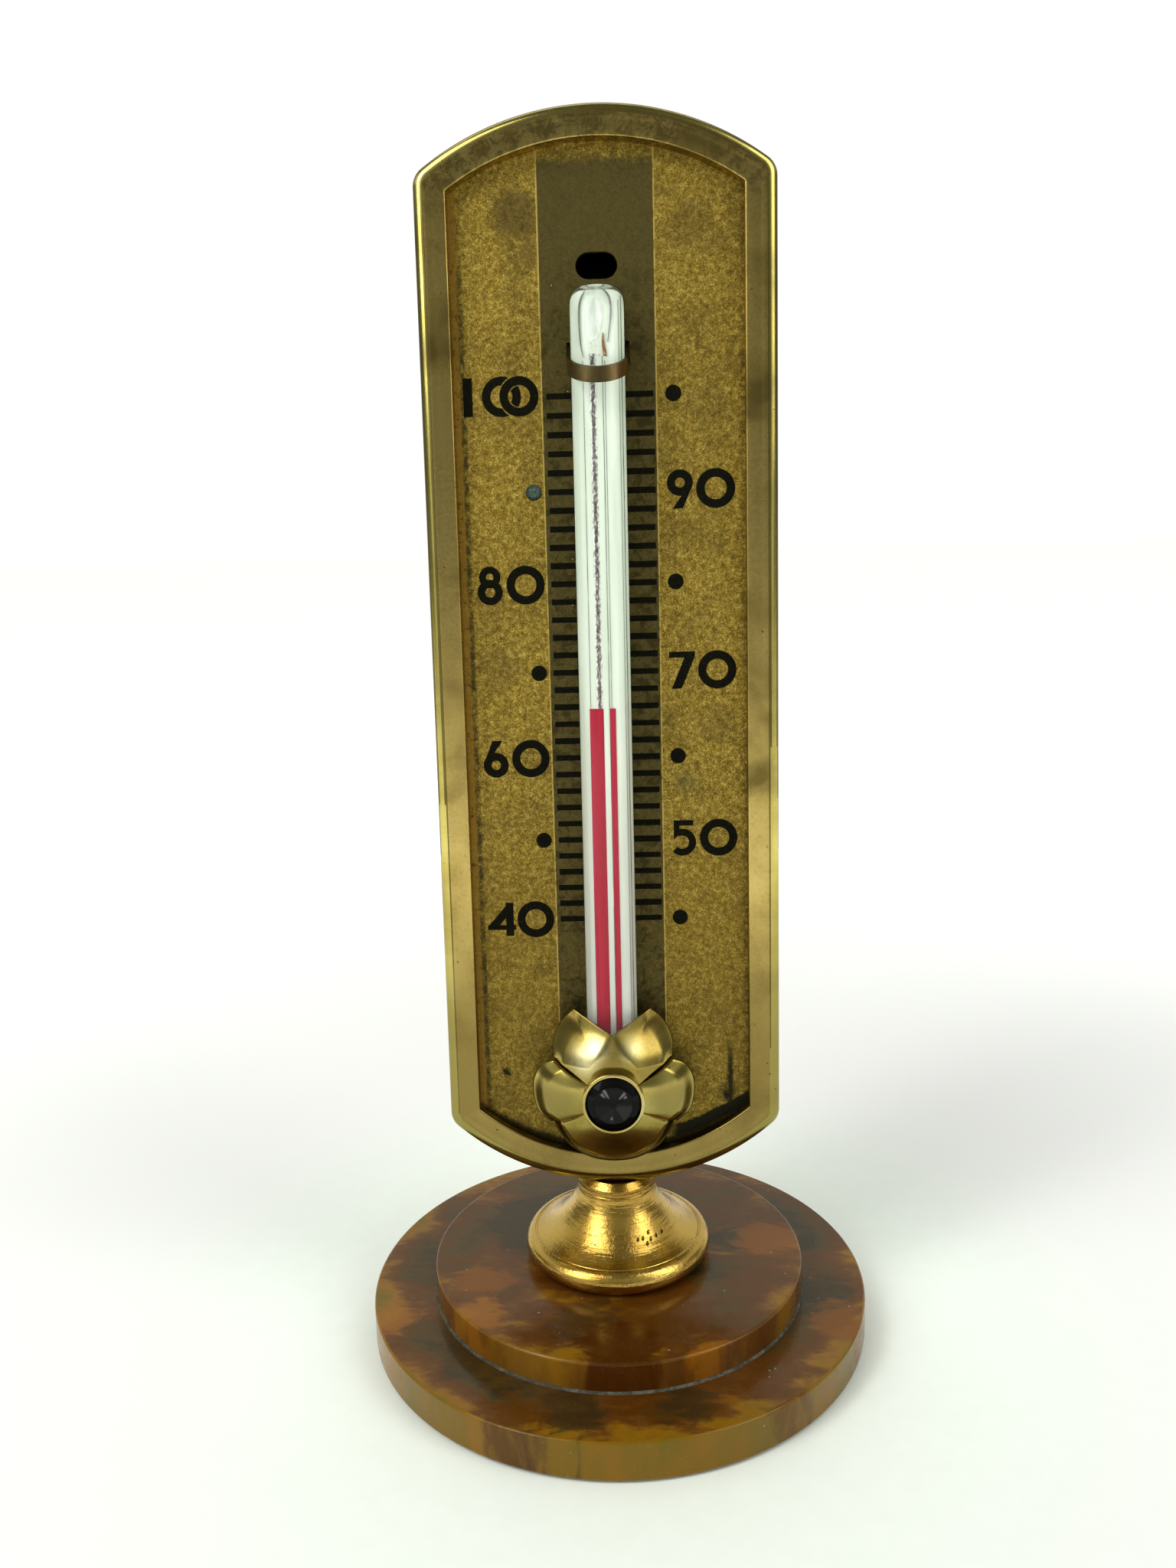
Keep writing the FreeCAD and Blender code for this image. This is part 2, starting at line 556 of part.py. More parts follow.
os.makedirs("parts", exist_ok=True)
for make_piece in PIECES:
    piece = make_piece()
    save(piece, make_piece.__name__)
    print(make_piece.__name__, "valid", piece.isValid(), "solids", len(piece.Solids),
          "volume", round(piece.Volume, 2))
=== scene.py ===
import json
import random
from math import acos, atan2, cos, degrees, exp, hypot, pi, radians, sin, sqrt

import bmesh
import bpy
from mathutils import Matrix, Vector


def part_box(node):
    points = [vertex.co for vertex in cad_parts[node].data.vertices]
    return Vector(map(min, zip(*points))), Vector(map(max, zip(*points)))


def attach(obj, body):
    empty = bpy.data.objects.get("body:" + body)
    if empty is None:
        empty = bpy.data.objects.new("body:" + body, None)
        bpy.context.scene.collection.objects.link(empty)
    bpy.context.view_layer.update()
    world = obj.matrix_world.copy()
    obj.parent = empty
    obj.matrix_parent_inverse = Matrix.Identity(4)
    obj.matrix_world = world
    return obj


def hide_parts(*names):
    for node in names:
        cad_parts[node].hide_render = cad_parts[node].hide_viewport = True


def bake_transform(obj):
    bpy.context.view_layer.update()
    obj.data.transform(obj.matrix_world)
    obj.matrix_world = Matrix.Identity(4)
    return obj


# Looks of the desk thermometer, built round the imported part. Lengths in the shape functions are in
# millimetres and become metres where a mesh is made; the front looks along -Y.

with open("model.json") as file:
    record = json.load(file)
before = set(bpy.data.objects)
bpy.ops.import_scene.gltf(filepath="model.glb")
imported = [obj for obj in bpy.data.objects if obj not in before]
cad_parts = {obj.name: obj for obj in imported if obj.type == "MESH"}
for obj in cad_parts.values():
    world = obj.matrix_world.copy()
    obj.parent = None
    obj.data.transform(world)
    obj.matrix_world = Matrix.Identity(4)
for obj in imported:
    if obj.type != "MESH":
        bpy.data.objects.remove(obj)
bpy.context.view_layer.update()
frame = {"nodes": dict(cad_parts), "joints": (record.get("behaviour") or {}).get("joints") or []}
nodes = frame["nodes"]

MM = 0.001
BODY = "thermometer"
LEVEL = "spirit_level"


# ---- the leaning panel's own frame --------------------------------------------------------------

RISE = next(joint for joint in frame["joints"] if joint["name"] == "spirit_rise")
PANEL_TILT = atan2(RISE["axis"][1], RISE["axis"][2])
TILT_HEIGHT = 20.6            # the panel leans back about a level line at this height


def panel_point(x, y, z):
    """Point given in the upright panel's frame, moved to where the leaning panel holds it."""
    rise = z - TILT_HEIGHT
    return Vector((x,
                   y * cos(PANEL_TILT) + rise * sin(PANEL_TILT),
                   TILT_HEIGHT + rise * cos(PANEL_TILT) - y * sin(PANEL_TILT)))


# sizes of the upright panel: depths along y, half widths along x, heights along z
PANEL_FRONT = -3.1
PANEL_HALF = 16.5
PANEL_TOP = 118.35
PANEL_BOTTOM = 15.95
TOP_ARC = 26.8                # radii of the panel's top, bottom and corners
BOTTOM_ARC = 23.8
CORNER = 2.0
DIAL_FRONT = -1.6
DIAL_BACK = -1.1
TUBE_RADIUS = 2.5
TUBE_AXIS = DIAL_FRONT - TUBE_RADIUS
TUBE_BOTTOM = 23.5
TUBE_TOP = 102.1
FLOWER_CENTRE = 26.4
STONE_RADIUS = 2.72
SPIRIT_LEVEL = 64.1           # top of the spirit at rest
RESERVOIR_TOP = 41.4          # the thread that stretches starts here
COLUMN_TOP = SPIRIT_LEVEL - 1.0


# ---- mesh helpers -------------------------------------------------------------------------------

SHARP_ANGLE = 50              # edges that turn by more stay sharp on smooth pieces
MERGE_GAP = 0.0005            # points closer than this become one


def finish_mesh(name, mesh, material, smooth):
    """Turn a bmesh in millimetres into a linked object in metres."""
    bmesh.ops.recalc_face_normals(mesh, faces=mesh.faces)
    bmesh.ops.scale(mesh, vec=(MM, MM, MM), verts=mesh.verts)
    data = bpy.data.meshes.new(name)
    mesh.to_mesh(data)
    mesh.free()
    for polygon in data.polygons:
        polygon.use_smooth = smooth
    if smooth:
        data.set_sharp_from_angle(angle=radians(SHARP_ANGLE))
    data.materials.append(material)
    piece = bpy.data.objects.new(name, data)
    bpy.context.scene.collection.objects.link(piece)
    return piece


def grid_faces(mesh, rows, closed=False):
    """Join rows of points, all of one length, with quads; closed rows run round to their start."""
    lines = [[mesh.verts.new(point) for point in row] for row in rows]
    for line, following in zip(lines, lines[1:]):
        count = len(line) if closed else len(line) - 1
        for index in range(count):
            step = (index + 1) % len(line)
            mesh.faces.new((line[index], line[step], following[step], following[index]))
    return lines


def closed_tube(mesh, rows):
    """Solid with a flat cap at each end; every row of points is one loop round it."""
    lines = grid_faces(mesh, rows, closed=True)
    mesh.faces.new(lines[0][::-1])
    mesh.faces.new(lines[-1])


def add_prism(mesh, outline, front, back):
    """Closed prism on the panel: an outline of (x, z) points between two depths."""
    closed_tube(mesh, [[panel_point(x, depth, z) for x, z in outline] for depth in (front, back)])


def arc(x, z, radius, start, end, steps=40):
    """Points along an arc on the panel; the angles are in degrees."""
    angles = [radians(start + (end - start) * step / steps) for step in range(steps + 1)]
    return [(x + radius * cos(angle), z + radius * sin(angle)) for angle in angles]


def add_ring(mesh, x, z, outer, inner, front, back, start=0, end=360):
    """Flat ring or part of one on the panel."""
    if end - start < 360:
        add_prism(mesh, arc(x, z, outer, start, end) + arc(x, z, inner, end, start), front, back)
        return
    rows = []
    for radius, depth in ((outer, front), (outer, back), (inner, back), (inner, front), (outer, front)):
        rows.append([panel_point(px, depth, pz) for px, pz in arc(x, z, radius, 0, 360, 56)[:-1]])
    grid_faces(mesh, rows, closed=True)
    bmesh.ops.remove_doubles(mesh, verts=mesh.verts, dist=MERGE_GAP)


def turned_solid(mesh, profile, place, steps):
    """Turned solid closed by flat caps; the profile is (radius, height), and place maps x, y, z."""
    turns = [2 * pi * step / steps for step in range(steps)]
    closed_tube(mesh, [[place(radius * cos(turn), radius * sin(turn), height) for turn in turns]
                       for radius, height in profile])


def quarter_turn(steps):
    """Angles of a quarter turn in equal steps, in radians."""
    return [pi / 2 * step / steps for step in range(steps + 1)]


def smooth_step(value, low, high):
    """0 below low, 1 above high, and smooth between them."""
    share = min(1.0, max(0.0, (value - low) / (high - low)))
    return share * share * (3 - 2 * share)


def through(points, steps):
    """Smooth curve through points (Catmull-Rom), with a number of steps between neighbours."""
    ends = [points[0]] + list(points) + [points[-1]]
    curve = []
    for before, start, end, after in zip(ends, ends[1:], ends[2:], ends[3:]):
        for step in range(steps):
            t = step / steps
            curve.append(tuple(
                0.5 * (2 * b + (c - a) * t + (2 * a - 5 * b + 4 * c - d) * t ** 2
                       + (3 * b - a - 3 * c + d) * t ** 3)
                for a, b, c, d in zip(before, start, end, after)))
    curve.append(tuple(points[-1]))
    return curve


# ---- material helpers ---------------------------------------------------------------------------

class Finish:
    """One procedural material. Textures are placed in millimetres, in the object's own frame."""

    def __init__(self, name, on_panel=False):
        self.material = bpy.data.materials.new(name)
        self.material.use_nodes = True
        self.tree = self.material.node_tree
        self.tree.nodes.clear()
        self.output = self.tree.nodes.new("ShaderNodeOutputMaterial")
        coordinates = self.tree.nodes.new("ShaderNodeTexCoord")
        mapping = self.tree.nodes.new("ShaderNodeMapping")
        mapping.inputs["Scale"].default_value = (1 / MM, 1 / MM, 1 / MM)
        if on_panel:
            sine = sin(PANEL_TILT)
            cosine = cos(PANEL_TILT)
            mapping.inputs["Rotation"].default_value = (PANEL_TILT, 0, 0)
            mapping.inputs["Location"].default_value = (0, TILT_HEIGHT * sine, TILT_HEIGHT * (1 - cosine))
        self.tree.links.new(coordinates.outputs["Object"], mapping.inputs["Vector"])
        self.place = mapping.outputs["Vector"]
        split = self.node("ShaderNodeSeparateXYZ", Vector=self.place)
        self.x, self.y, self.z = split.outputs

    def node(self, kind, settings=None, **inputs):
        """New node; each input is a number, a colour or another node's socket."""
        made = self.tree.nodes.new(kind)
        for key, value in (settings or {}).items():
            setattr(made, key, value)
        for key, value in inputs.items():
            self.put(made.inputs[key.replace("_", " ")], value)
        return made

    def put(self, socket, value):
        """Link a socket, or set its own value."""
        if isinstance(value, bpy.types.NodeSocket):
            self.tree.links.new(value, socket)
        elif isinstance(value, (tuple, list)) and socket.type == "RGBA":
            socket.default_value = (*value[:3], 1)
        else:
            socket.default_value = value

    def math(self, operation, *values):
        """Result of one sum on sockets or numbers."""
        made = self.node("ShaderNodeMath", {"operation": operation})
        for socket, value in zip(made.inputs, values):
            self.put(socket, value)
        return made.outputs["Value"]

    def times(self, first, second):
        return self.math("MULTIPLY", first, second)

    def larger(self, first, second):
        return self.math("MAXIMUM", first, second)

    def apart(self, value, middle):
        """How far a value is from a middle."""
        return self.math("ABSOLUTE", self.math("SUBTRACT", value, middle))

    def stretched(self, x, y, z):
        """The placed coordinates with each axis scaled."""
        made = self.node("ShaderNodeVectorMath", {"operation": "MULTIPLY"})
        self.put(made.inputs[0], self.place)
        self.put(made.inputs[1], (x, y, z))
        return made.outputs["Vector"]

    def noise(self, scale, detail=3.0, rough=0.5, distortion=0.0, place=None):
        """Noise with a number of features per millimetre."""
        made = self.node("ShaderNodeTexNoise", Vector=place or self.place, Scale=scale, Detail=detail,
                         Roughness=rough, Distortion=distortion)
        return made.outputs["Fac"]

    def cells(self, scale):
        """Distance to the nearest of many scattered points."""
        made = self.node("ShaderNodeTexVoronoi", Vector=self.place, Scale=scale)
        return made.outputs["Distance"]

    def ramp(self, value, *stops):
        """Colour from a value, by stops of (position, colour)."""
        made = self.node("ShaderNodeValToRGB", Fac=value)
        elements = made.color_ramp.elements
        for index, (position, colour) in enumerate(stops):
            element = elements[index] if index < 2 else elements.new(position)
            element.position = position
            element.color = (*colour, 1)
        return made.outputs["Color"]

    def span(self, value, low, high, out_low=0.0, out_high=1.0):
        """Value mapped from one range to another, held at its ends."""
        made = self.node("ShaderNodeMapRange", {"interpolation_type": "SMOOTHSTEP"}, Value=value,
                         From_Min=low, From_Max=high, To_Min=out_low, To_Max=out_high)
        return made.outputs["Result"]

    def band(self, value, middle, near, far, top=1.0):
        """The top value where a value is near a middle, fading to 0 further from it."""
        return self.span(self.apart(value, middle), near, far, top, 0.0)

    def mix(self, share, first, second):
        """Mixed colour; the node keeps its colours in sockets 6 and 7, and its result in 2."""
        made = self.node("ShaderNodeMix", {"data_type": "RGBA"})
        for index, value in ((0, share), (6, first), (7, second)):
            self.put(made.inputs[index], value)
        return made.outputs[2]

    def reach(self, x, other, axis=None):
        """Distance from a point, seen along one axis: the front by default, or self.y for a plan."""
        away_x = self.math("SUBTRACT", self.x, x)
        away = self.math("SUBTRACT", axis or self.z, other)
        squares = self.math("MULTIPLY_ADD", away_x, away_x, self.times(away, away))
        return self.math("SQRT", squares)

    def spot(self, x, other, radius, soft, wobble=None, axis=None):
        """1 inside a round spot, 0 outside it, with an edge that noise can break up."""
        distance = self.reach(x, other, axis)
        if wobble:
            distance = self.math("ADD", distance, wobble)
        return self.span(distance, radius - soft, radius + soft, 1.0, 0.0)

    def bump(self, height, depth):
        """Surface relief of a depth in millimetres."""
        return self.node("ShaderNodeBump", Height=height, Distance=depth * MM).outputs["Normal"]

    def shade(self, **inputs):
        """Principled surface; underscores in the names stand for spaces."""
        made = self.node("ShaderNodeBsdfPrincipled", **inputs)
        self.tree.links.new(made.outputs["BSDF"], self.output.inputs["Surface"])
        return self.material


def dress(name, material):
    """Give a CAD node its material."""
    slots = nodes[name].data.materials
    if not slots:
        slots.append(material)
    for index in range(len(slots)):
        slots[index] = material


# ---- brass --------------------------------------------------------------------------------------

# black painted as the shade inside the closed back tray
SHADE_BLACK = (0.004, 0.004, 0.003)


def brass(name, dull, clean, dark, rough=(0.22, 0.38), grain=(1, 1, 1), grain_depth=0.004, pits=0.1,
          speckle=0.3, shade_above=None, dark_foot=0, inside=None, marks=(), painted_light_patches=(), on_panel=True):
    """Old brass: soft clouds of tarnish, brushed grain, fine specks and small dark pits.

    blotch is a height over which the metal is mottled dark as painted shade and painted dark reflection,
    dark_foot how far it is made darker towards the bottom, inside a depth before which it is painted
    black as the shade inside a closed box, marks are (x, z) places of pits on the front, and tints are
    (x, z, radius, colour, strength) of patches of painted highlight and painted shade.
    """
    metal = Finish(name, on_panel)
    clouds = metal.noise(0.13, 3, 0.5, 0.3)
    fine = metal.noise(2.6, 4, 0.65)
    brushed = metal.noise(6.0, 3, 0.6, place=metal.stretched(*grain))
    colour = metal.ramp(clouds, (0.32, dark), (0.5, dull), (0.70, clean))
    colour = metal.mix(metal.span(fine, 0.54, 0.74, 0.0, speckle), colour, clean)
    colour = metal.mix(metal.span(fine, 0.44, 0.30, 0.0, speckle), colour, dark)
    # mottled painted shade and painted dark reflection above a height
    if shade_above:
        mottle = metal.span(metal.noise(0.9, 8, 0.85, 0.5), 0.44, 0.56, 0.25, 0.9)
        high = metal.span(metal.z, shade_above - 4, shade_above + 3)
        colour = metal.mix(metal.times(mottle, high), colour, dark)
    # patches of painted highlight and painted shade
    for x, z, size, tint, strength in painted_light_patches:
        share = metal.times(strength, metal.spot(x, z, size, 1.2))
        colour = metal.mix(share, colour, tint)
    # darker towards the bottom
    if dark_foot:
        colour = metal.mix(metal.span(metal.z, 48, 30, 0.0, dark_foot), colour, dark)
    specks = metal.cells(0.9)
    sparse = metal.span(metal.noise(0.35, 2), 0.5, 0.62)
    pitted = metal.times(metal.span(specks, pits, pits * 0.6), sparse)
    for x, z in marks:
        on_front = metal.span(metal.y, -0.5, -1.0)
        pitted = metal.larger(pitted, metal.times(on_front, metal.spot(x, z, 0.11, 0.06)))
    colour = metal.mix(pitted, colour, tuple(0.25 * part for part in dark))
    # painted black as the shade inside the tray
    if inside:
        colour = metal.mix(metal.span(metal.y, inside + 0.05, inside), colour, SHADE_BLACK)
    wear = metal.math("ADD", metal.times(clouds, 0.6), metal.times(fine, 0.4))
    roughness = metal.span(wear, 0.35, 0.65, rough[1], rough[0])
    relief = metal.math("SUBTRACT", metal.math("MULTIPLY_ADD", fine, 0.4, brushed), metal.times(pitted, 1.5))
    return metal.shade(Base_Color=colour, Metallic=1.0, Roughness=roughness,
                       Normal=metal.bump(relief, grain_depth))


# x, z, radius and strength of the browner patches on the dial
TARNISH = ((-7.3, 109.2, 2.2, 0.95), (-6.6, 105.6, 1.4, 0.7), (8.6, 108.0, 2.2, 0.55),
           (8.9, 99.5, 1.8, 0.4), (-10.2, 68.0, 2.0, 0.5), (10.6, 62.0, 1.8, 0.45))
STRIP_HALF = 5.3              # half the width of the plain strip behind the tube
DIAL_EDGE = 12.7              # from the middle to where the dial's rusty edge begins


def dial_brass():
    """Finely speckled gold dial with a plain olive middle strip, gilt lines, old stains and painted shadow
    along the window's bottom edge.
    """
    dial = Finish("dial_brass", on_panel=True)
    across = dial.math("ABSOLUTE", dial.x)
    clouds = dial.noise(0.20, 8, 0.80, 0.4)
    grains = dial.noise(2.0, 7, 0.92)
    fine = dial.noise(7.0, 3, 0.8)
    speckle = dial.math("MULTIPLY_ADD", fine, 0.40, dial.times(grains, 0.65))
    wobble = dial.times(dial.math("SUBTRACT", dial.noise(0.9, 6, 0.78), 0.5), 4.0)

    gold = dial.ramp(speckle, (0.43, (0.080, 0.048, 0.006)), (0.50, (0.215, 0.140, 0.018)),
                     (0.55, (0.31, 0.213, 0.030)), (0.61, (0.60, 0.445, 0.10)))
    gold = dial.mix(dial.span(dial.z, 62, 38, 0.0, 0.35), gold, (0.145, 0.092, 0.012))
    tarnished = dial.ramp(speckle, (0.42, (0.050, 0.034, 0.008)), (0.56, (0.145, 0.098, 0.020)),
                          (0.68, (0.22, 0.16, 0.045)))
    aged = dial.span(clouds, 0.47, 0.62, 0.0, 0.45)
    for x, z, radius, share in TARNISH:
        aged = dial.larger(aged, dial.times(share, dial.spot(x, z, radius, 0.9, wobble)))
    colour = dial.mix(aged, gold, tarnished)
    dark_specks = dial.times(dial.span(dial.noise(3.2, 4, 0.75), 0.56, 0.66, 0.0, 0.8),
                             dial.span(dial.noise(0.28, 4, 0.7), 0.45, 0.60, 0.1, 1.0))
    dark_specks = dial.times(dark_specks, dial.span(dial.z, 100, 50, 0.35, 1.0))
    colour = dial.mix(dark_specks, colour, (0.055, 0.045, 0.010))

    mottled = dial.math("MULTIPLY_ADD", fine, 0.45, dial.times(grains, 0.55))
    strip = dial.ramp(mottled, (0.38, (0.052, 0.040, 0.009)), (0.50, (0.088, 0.069, 0.018)),
                      (0.64, (0.125, 0.098, 0.028)))
    grime = dial.span(dial.noise(0.7, 6, 0.78, 0.4), 0.48, 0.60, 0.0, 0.85)
    strip = dial.mix(dial.times(grime, dial.span(dial.z, 108, 96, 0.15, 1.0)), strip, (0.034, 0.027, 0.006))
    rusty = dial.times(dial.span(dial.noise(1.6, 6, 0.8), 0.53, 0.61, 0.0, 0.75),
                       dial.span(dial.z, 58, 40))
    strip = dial.mix(rusty, strip, (0.16, 0.095, 0.018))
    top_end = dial.math("MULTIPLY_ADD", wobble, 0.6, dial.z)
    in_strip = dial.times(dial.span(across, STRIP_HALF - 0.02, STRIP_HALF + 0.02, 1.0, 0.0),
                          dial.span(top_end, 113.4, 114.4, 1.0, 0.1))
    colour = dial.mix(in_strip, colour, strip)
    gilt = dial.band(across, STRIP_HALF + 0.04, 0.05, 0.09)
    gilt = dial.times(gilt, dial.span(dial.noise(1.2, 3), 0.36, 0.5, 0.2, 0.8))
    colour = dial.mix(gilt, colour, (0.50, 0.36, 0.09))

    warm_edge = dial.span(dial.x, -DIAL_EDGE, -DIAL_EDGE - 0.3, 0.0, 0.8)
    colour = dial.mix(warm_edge, colour, (0.27, 0.155, 0.022))
    rust_spots = dial.times(warm_edge, dial.span(dial.noise(1.3, 4, 0.7), 0.55, 0.65))
    colour = dial.mix(rust_spots, colour, (0.09, 0.03, 0.006))
    edge_line = dial.band(dial.math("MULTIPLY_ADD", wobble, 0.10, dial.x), -DIAL_EDGE, 0.10, 0.35)
    edge_line = dial.times(edge_line, dial.span(dial.noise(1.6, 5, 0.75), 0.40, 0.58, 0.25, 0.85))
    edge_line = dial.times(edge_line, dial.span(dial.z, 107, 102))
    right_edge = dial.times(dial.span(dial.x, 12.9, 13.4, 0.0, 0.55),
                            dial.span(dial.noise(1.8, 4, 0.75), 0.42, 0.58))
    colour = dial.mix(dial.larger(edge_line, right_edge), colour, (0.026, 0.024, 0.008))

    scratch = dial.band(dial.math("MULTIPLY_ADD", wobble, 0.12, dial.x), 11.7, 0.10, 0.45)
    stain_and_shadow = dial.times(scratch, dial.span(dial.z, 32.0, 27.5, 0.0, 0.95))
    stain_and_shadow = dial.larger(stain_and_shadow, dial.spot(11.5, 24.6, 0.7, 0.8, wobble))
    # painted shadow that the window's bottom edge casts on the recessed dial, with a wider painted shadow
    # crescent at its lower right
    rim = dial.math("MULTIPLY_ADD", dial.math("POWER", across, 2.0), 0.0245, PANEL_BOTTOM + 3.0)
    height = dial.math("MULTIPLY_ADD", wobble, 0.25, dial.math("SUBTRACT", dial.z, rim))
    stain_and_shadow = dial.larger(stain_and_shadow, dial.span(height, 0.9, 0.3, 0.0, 0.9))
    shadow_crescent = dial.times(dial.band(height, 1.0, 0.55, 0.8), dial.span(dial.x, 5.0, 6.5))
    stain_and_shadow = dial.larger(stain_and_shadow, shadow_crescent)
    stain_and_shadow = dial.larger(stain_and_shadow, dial.spot(-10.9, 27.3, 0.3, 0.4, wobble))
    colour = dial.mix(stain_and_shadow, colour, (0.012, 0.012, 0.005))
    halo = dial.spot(7.6, 56.6, 0.9, 0.9, wobble)
    colour = dial.mix(dial.times(halo, 0.5), colour, (0.06, 0.07, 0.03))
    dust = dial.span(dial.cells(0.42), 0.03, 0.018, 0.0, 0.6)
    colour = dial.mix(dust, colour, (0.6, 0.62, 0.5))

    rough = dial.span(speckle, 0.40, 0.66, 0.62, 0.44)
    relief = dial.math("ADD", speckle, dial.times(gilt, 0.6))
    return dial.shade(Base_Color=colour, Metallic=0.8, Roughness=rough, Specular_IOR_Level=0.3,
                      Normal=dial.bump(relief, 0.02))


# ---- resin, cement, felt, stone -----------------------------------------------------------------

CHARCOAL = (0.026, 0.018, 0.006)
OLIVE_BROWN = (0.062, 0.034, 0.005)
BROWN = (0.105, 0.038, 0.006)
DARK_RUST = (0.080, 0.025, 0.002)
RUST = (0.165, 0.052, 0.003)
DARK_RED = (0.055, 0.014, 0.001)
DULL_RED = (0.060, 0.018, 0.006)
ORANGE_BROWN = (0.27, 0.095, 0.004)
AMBER = (0.22, 0.100, 0.004)
OLIVE_YELLOW = (0.135, 0.092, 0.005)


def marbled_resin(name, shift, radius, patches, amber_rim):
    """Old cast resin: charcoal and brown clouds, torn rust patches, amber near the rim.

    patches are (x, y, radius, colour, strength) on the plan, with edges broken by noise. amber_rim
    is how far the tone is lightened towards the edge.
    """
    resin = Finish(name)
    moved = resin.node("ShaderNodeVectorMath", {"operation": "ADD"})
    resin.put(moved.inputs[0], resin.stretched(0.65, 1.35, 0.25))
    resin.put(moved.inputs[1], shift)
    place = moved.outputs["Vector"]
    broad = resin.noise(0.055, 3, 0.5, 0.6, place)
    veins = resin.noise(0.15, 4, 0.55, 0.8, place)
    torn = resin.noise(0.30, 5, 0.60, 0.9, place)
    wobble = resin.times(resin.math("SUBTRACT", torn, 0.5), 9.0)
    streaks = resin.noise(0.55, 4, 0.6, 0.5, place)
    reach = resin.reach(0.0, 0.0, resin.y)
    tone = resin.math("MULTIPLY_ADD", veins, 0.45, resin.times(broad, 0.55))
    tone = resin.math("MULTIPLY_ADD", resin.math("SUBTRACT", streaks, 0.5), 0.16, tone)
    specks = resin.noise(0.9, 8, 0.75, 0.3, place)
    tone = resin.math("MULTIPLY_ADD", resin.math("SUBTRACT", specks, 0.5), 0.14, tone)
    ragged = resin.math("MULTIPLY_ADD", wobble, 0.3, reach)
    tone = resin.math("ADD", tone, resin.span(ragged, radius - 4.0, radius - 0.2, 0.0, amber_rim))
    on_wall = resin.span(reach, radius - 0.3, radius - 0.1, 0.0, 0.55)
    wall = resin.times(on_wall, resin.math("SUBTRACT", 0.55 + 1.4 * amber_rim, tone))
    tone = resin.math("ADD", tone, wall)
    colour = resin.ramp(tone, (0.40, CHARCOAL), (0.48, OLIVE_BROWN), (0.54, DARK_RUST),
                        (0.61, BROWN), (0.68, AMBER), (0.76, OLIVE_YELLOW))
    for x, y, size, tint, strength in patches:
        share = resin.spot(x, y, size, 0.9, wobble, resin.y)
        colour = resin.mix(resin.times(share, strength), colour, tint)
    grain = resin.noise(2.6, 4, 0.7, 0.2)
    colour = resin.mix(resin.span(grain, 0.5, 0.75, 0.0, 0.10), colour, AMBER)
    dust = resin.times(resin.span(resin.cells(0.55), 0.07, 0.04, 0.0, 0.35),
                       resin.span(resin.noise(0.3, 2), 0.48, 0.6))
    scuffs = resin.span(resin.noise(1.1, 6, 0.8, 1.2), 0.60, 0.78, 0.0, 0.07)
    colour = resin.mix(resin.larger(dust, scuffs), colour, (0.50, 0.50, 0.44))
    rough = resin.span(resin.noise(0.6, 5, 0.7), 0.35, 0.7, 0.12, 0.30)
    return resin.shade(Base_Color=colour, Roughness=rough, IOR=1.43, Specular_Tint=(1.0, 0.82, 0.50),
                       Normal=resin.bump(resin.noise(0.9, 4, 0.6), 0.008))


def cement_finish():
    """Thin squeezed-out cement, grey-green and dusty."""
    cement = Finish("cement")
    tone = cement.noise(1.1, 5, 0.75)
    colour = cement.ramp(tone, (0.45, (0.035, 0.028, 0.014)), (0.58, (0.085, 0.082, 0.052)),
                         (0.7, (0.15, 0.155, 0.11)))
    return cement.shade(Base_Color=colour, Roughness=0.75, Normal=cement.bump(cement.noise(5.0, 4), 0.05))


def felt_finish():
    """Dark green felt with matted fibres."""
    felt = Finish("felt")
    fibres = felt.noise(3.0, 6, 0.8, 2.5)
    colour = felt.ramp(fibres, (0.35, (0.010, 0.028, 0.014)), (0.6, (0.024, 0.060, 0.030)),
                       (0.8, (0.06, 0.11, 0.06)))
    return felt.shade(Base_Color=colour, Roughness=0.95, Sheen_Weight=0.4, Sheen_Roughness=0.5,
                      Normal=felt.bump(fibres, 0.25))


def steel_finish():
    """Plain screw steel with turning marks and a little rust."""
    steel = Finish("steel")
    marks = steel.noise(4.0, 4, 0.6, place=steel.stretched(1, 1, 5))
    rust = steel.span(steel.noise(0.9, 5, 0.7), 0.56, 0.72, 0.0, 0.8)
    colour = steel.mix(rust, (0.42, 0.41, 0.39), (0.13, 0.055, 0.025))
    return steel.shade(Base_Color=colour, Metallic=0.9, Roughness=steel.span(marks, 0.3, 0.7, 0.25, 0.5),
                       Normal=steel.bump(marks, 0.01))


STONE_SECTORS = 9
STAR_RADIUS = 1.8             # outer reach of the painted facet reflections in the stone
# direction from straight up, in degrees, and nearest and furthest reach of each painted glint
PAINTED_GLINTS = ((-30, 0.7, 1.85), (-44, 1.0, 1.7), (42, 0.7, 1.75), (55, 1.1, 1.6), (-172, 1.0, 1.5))


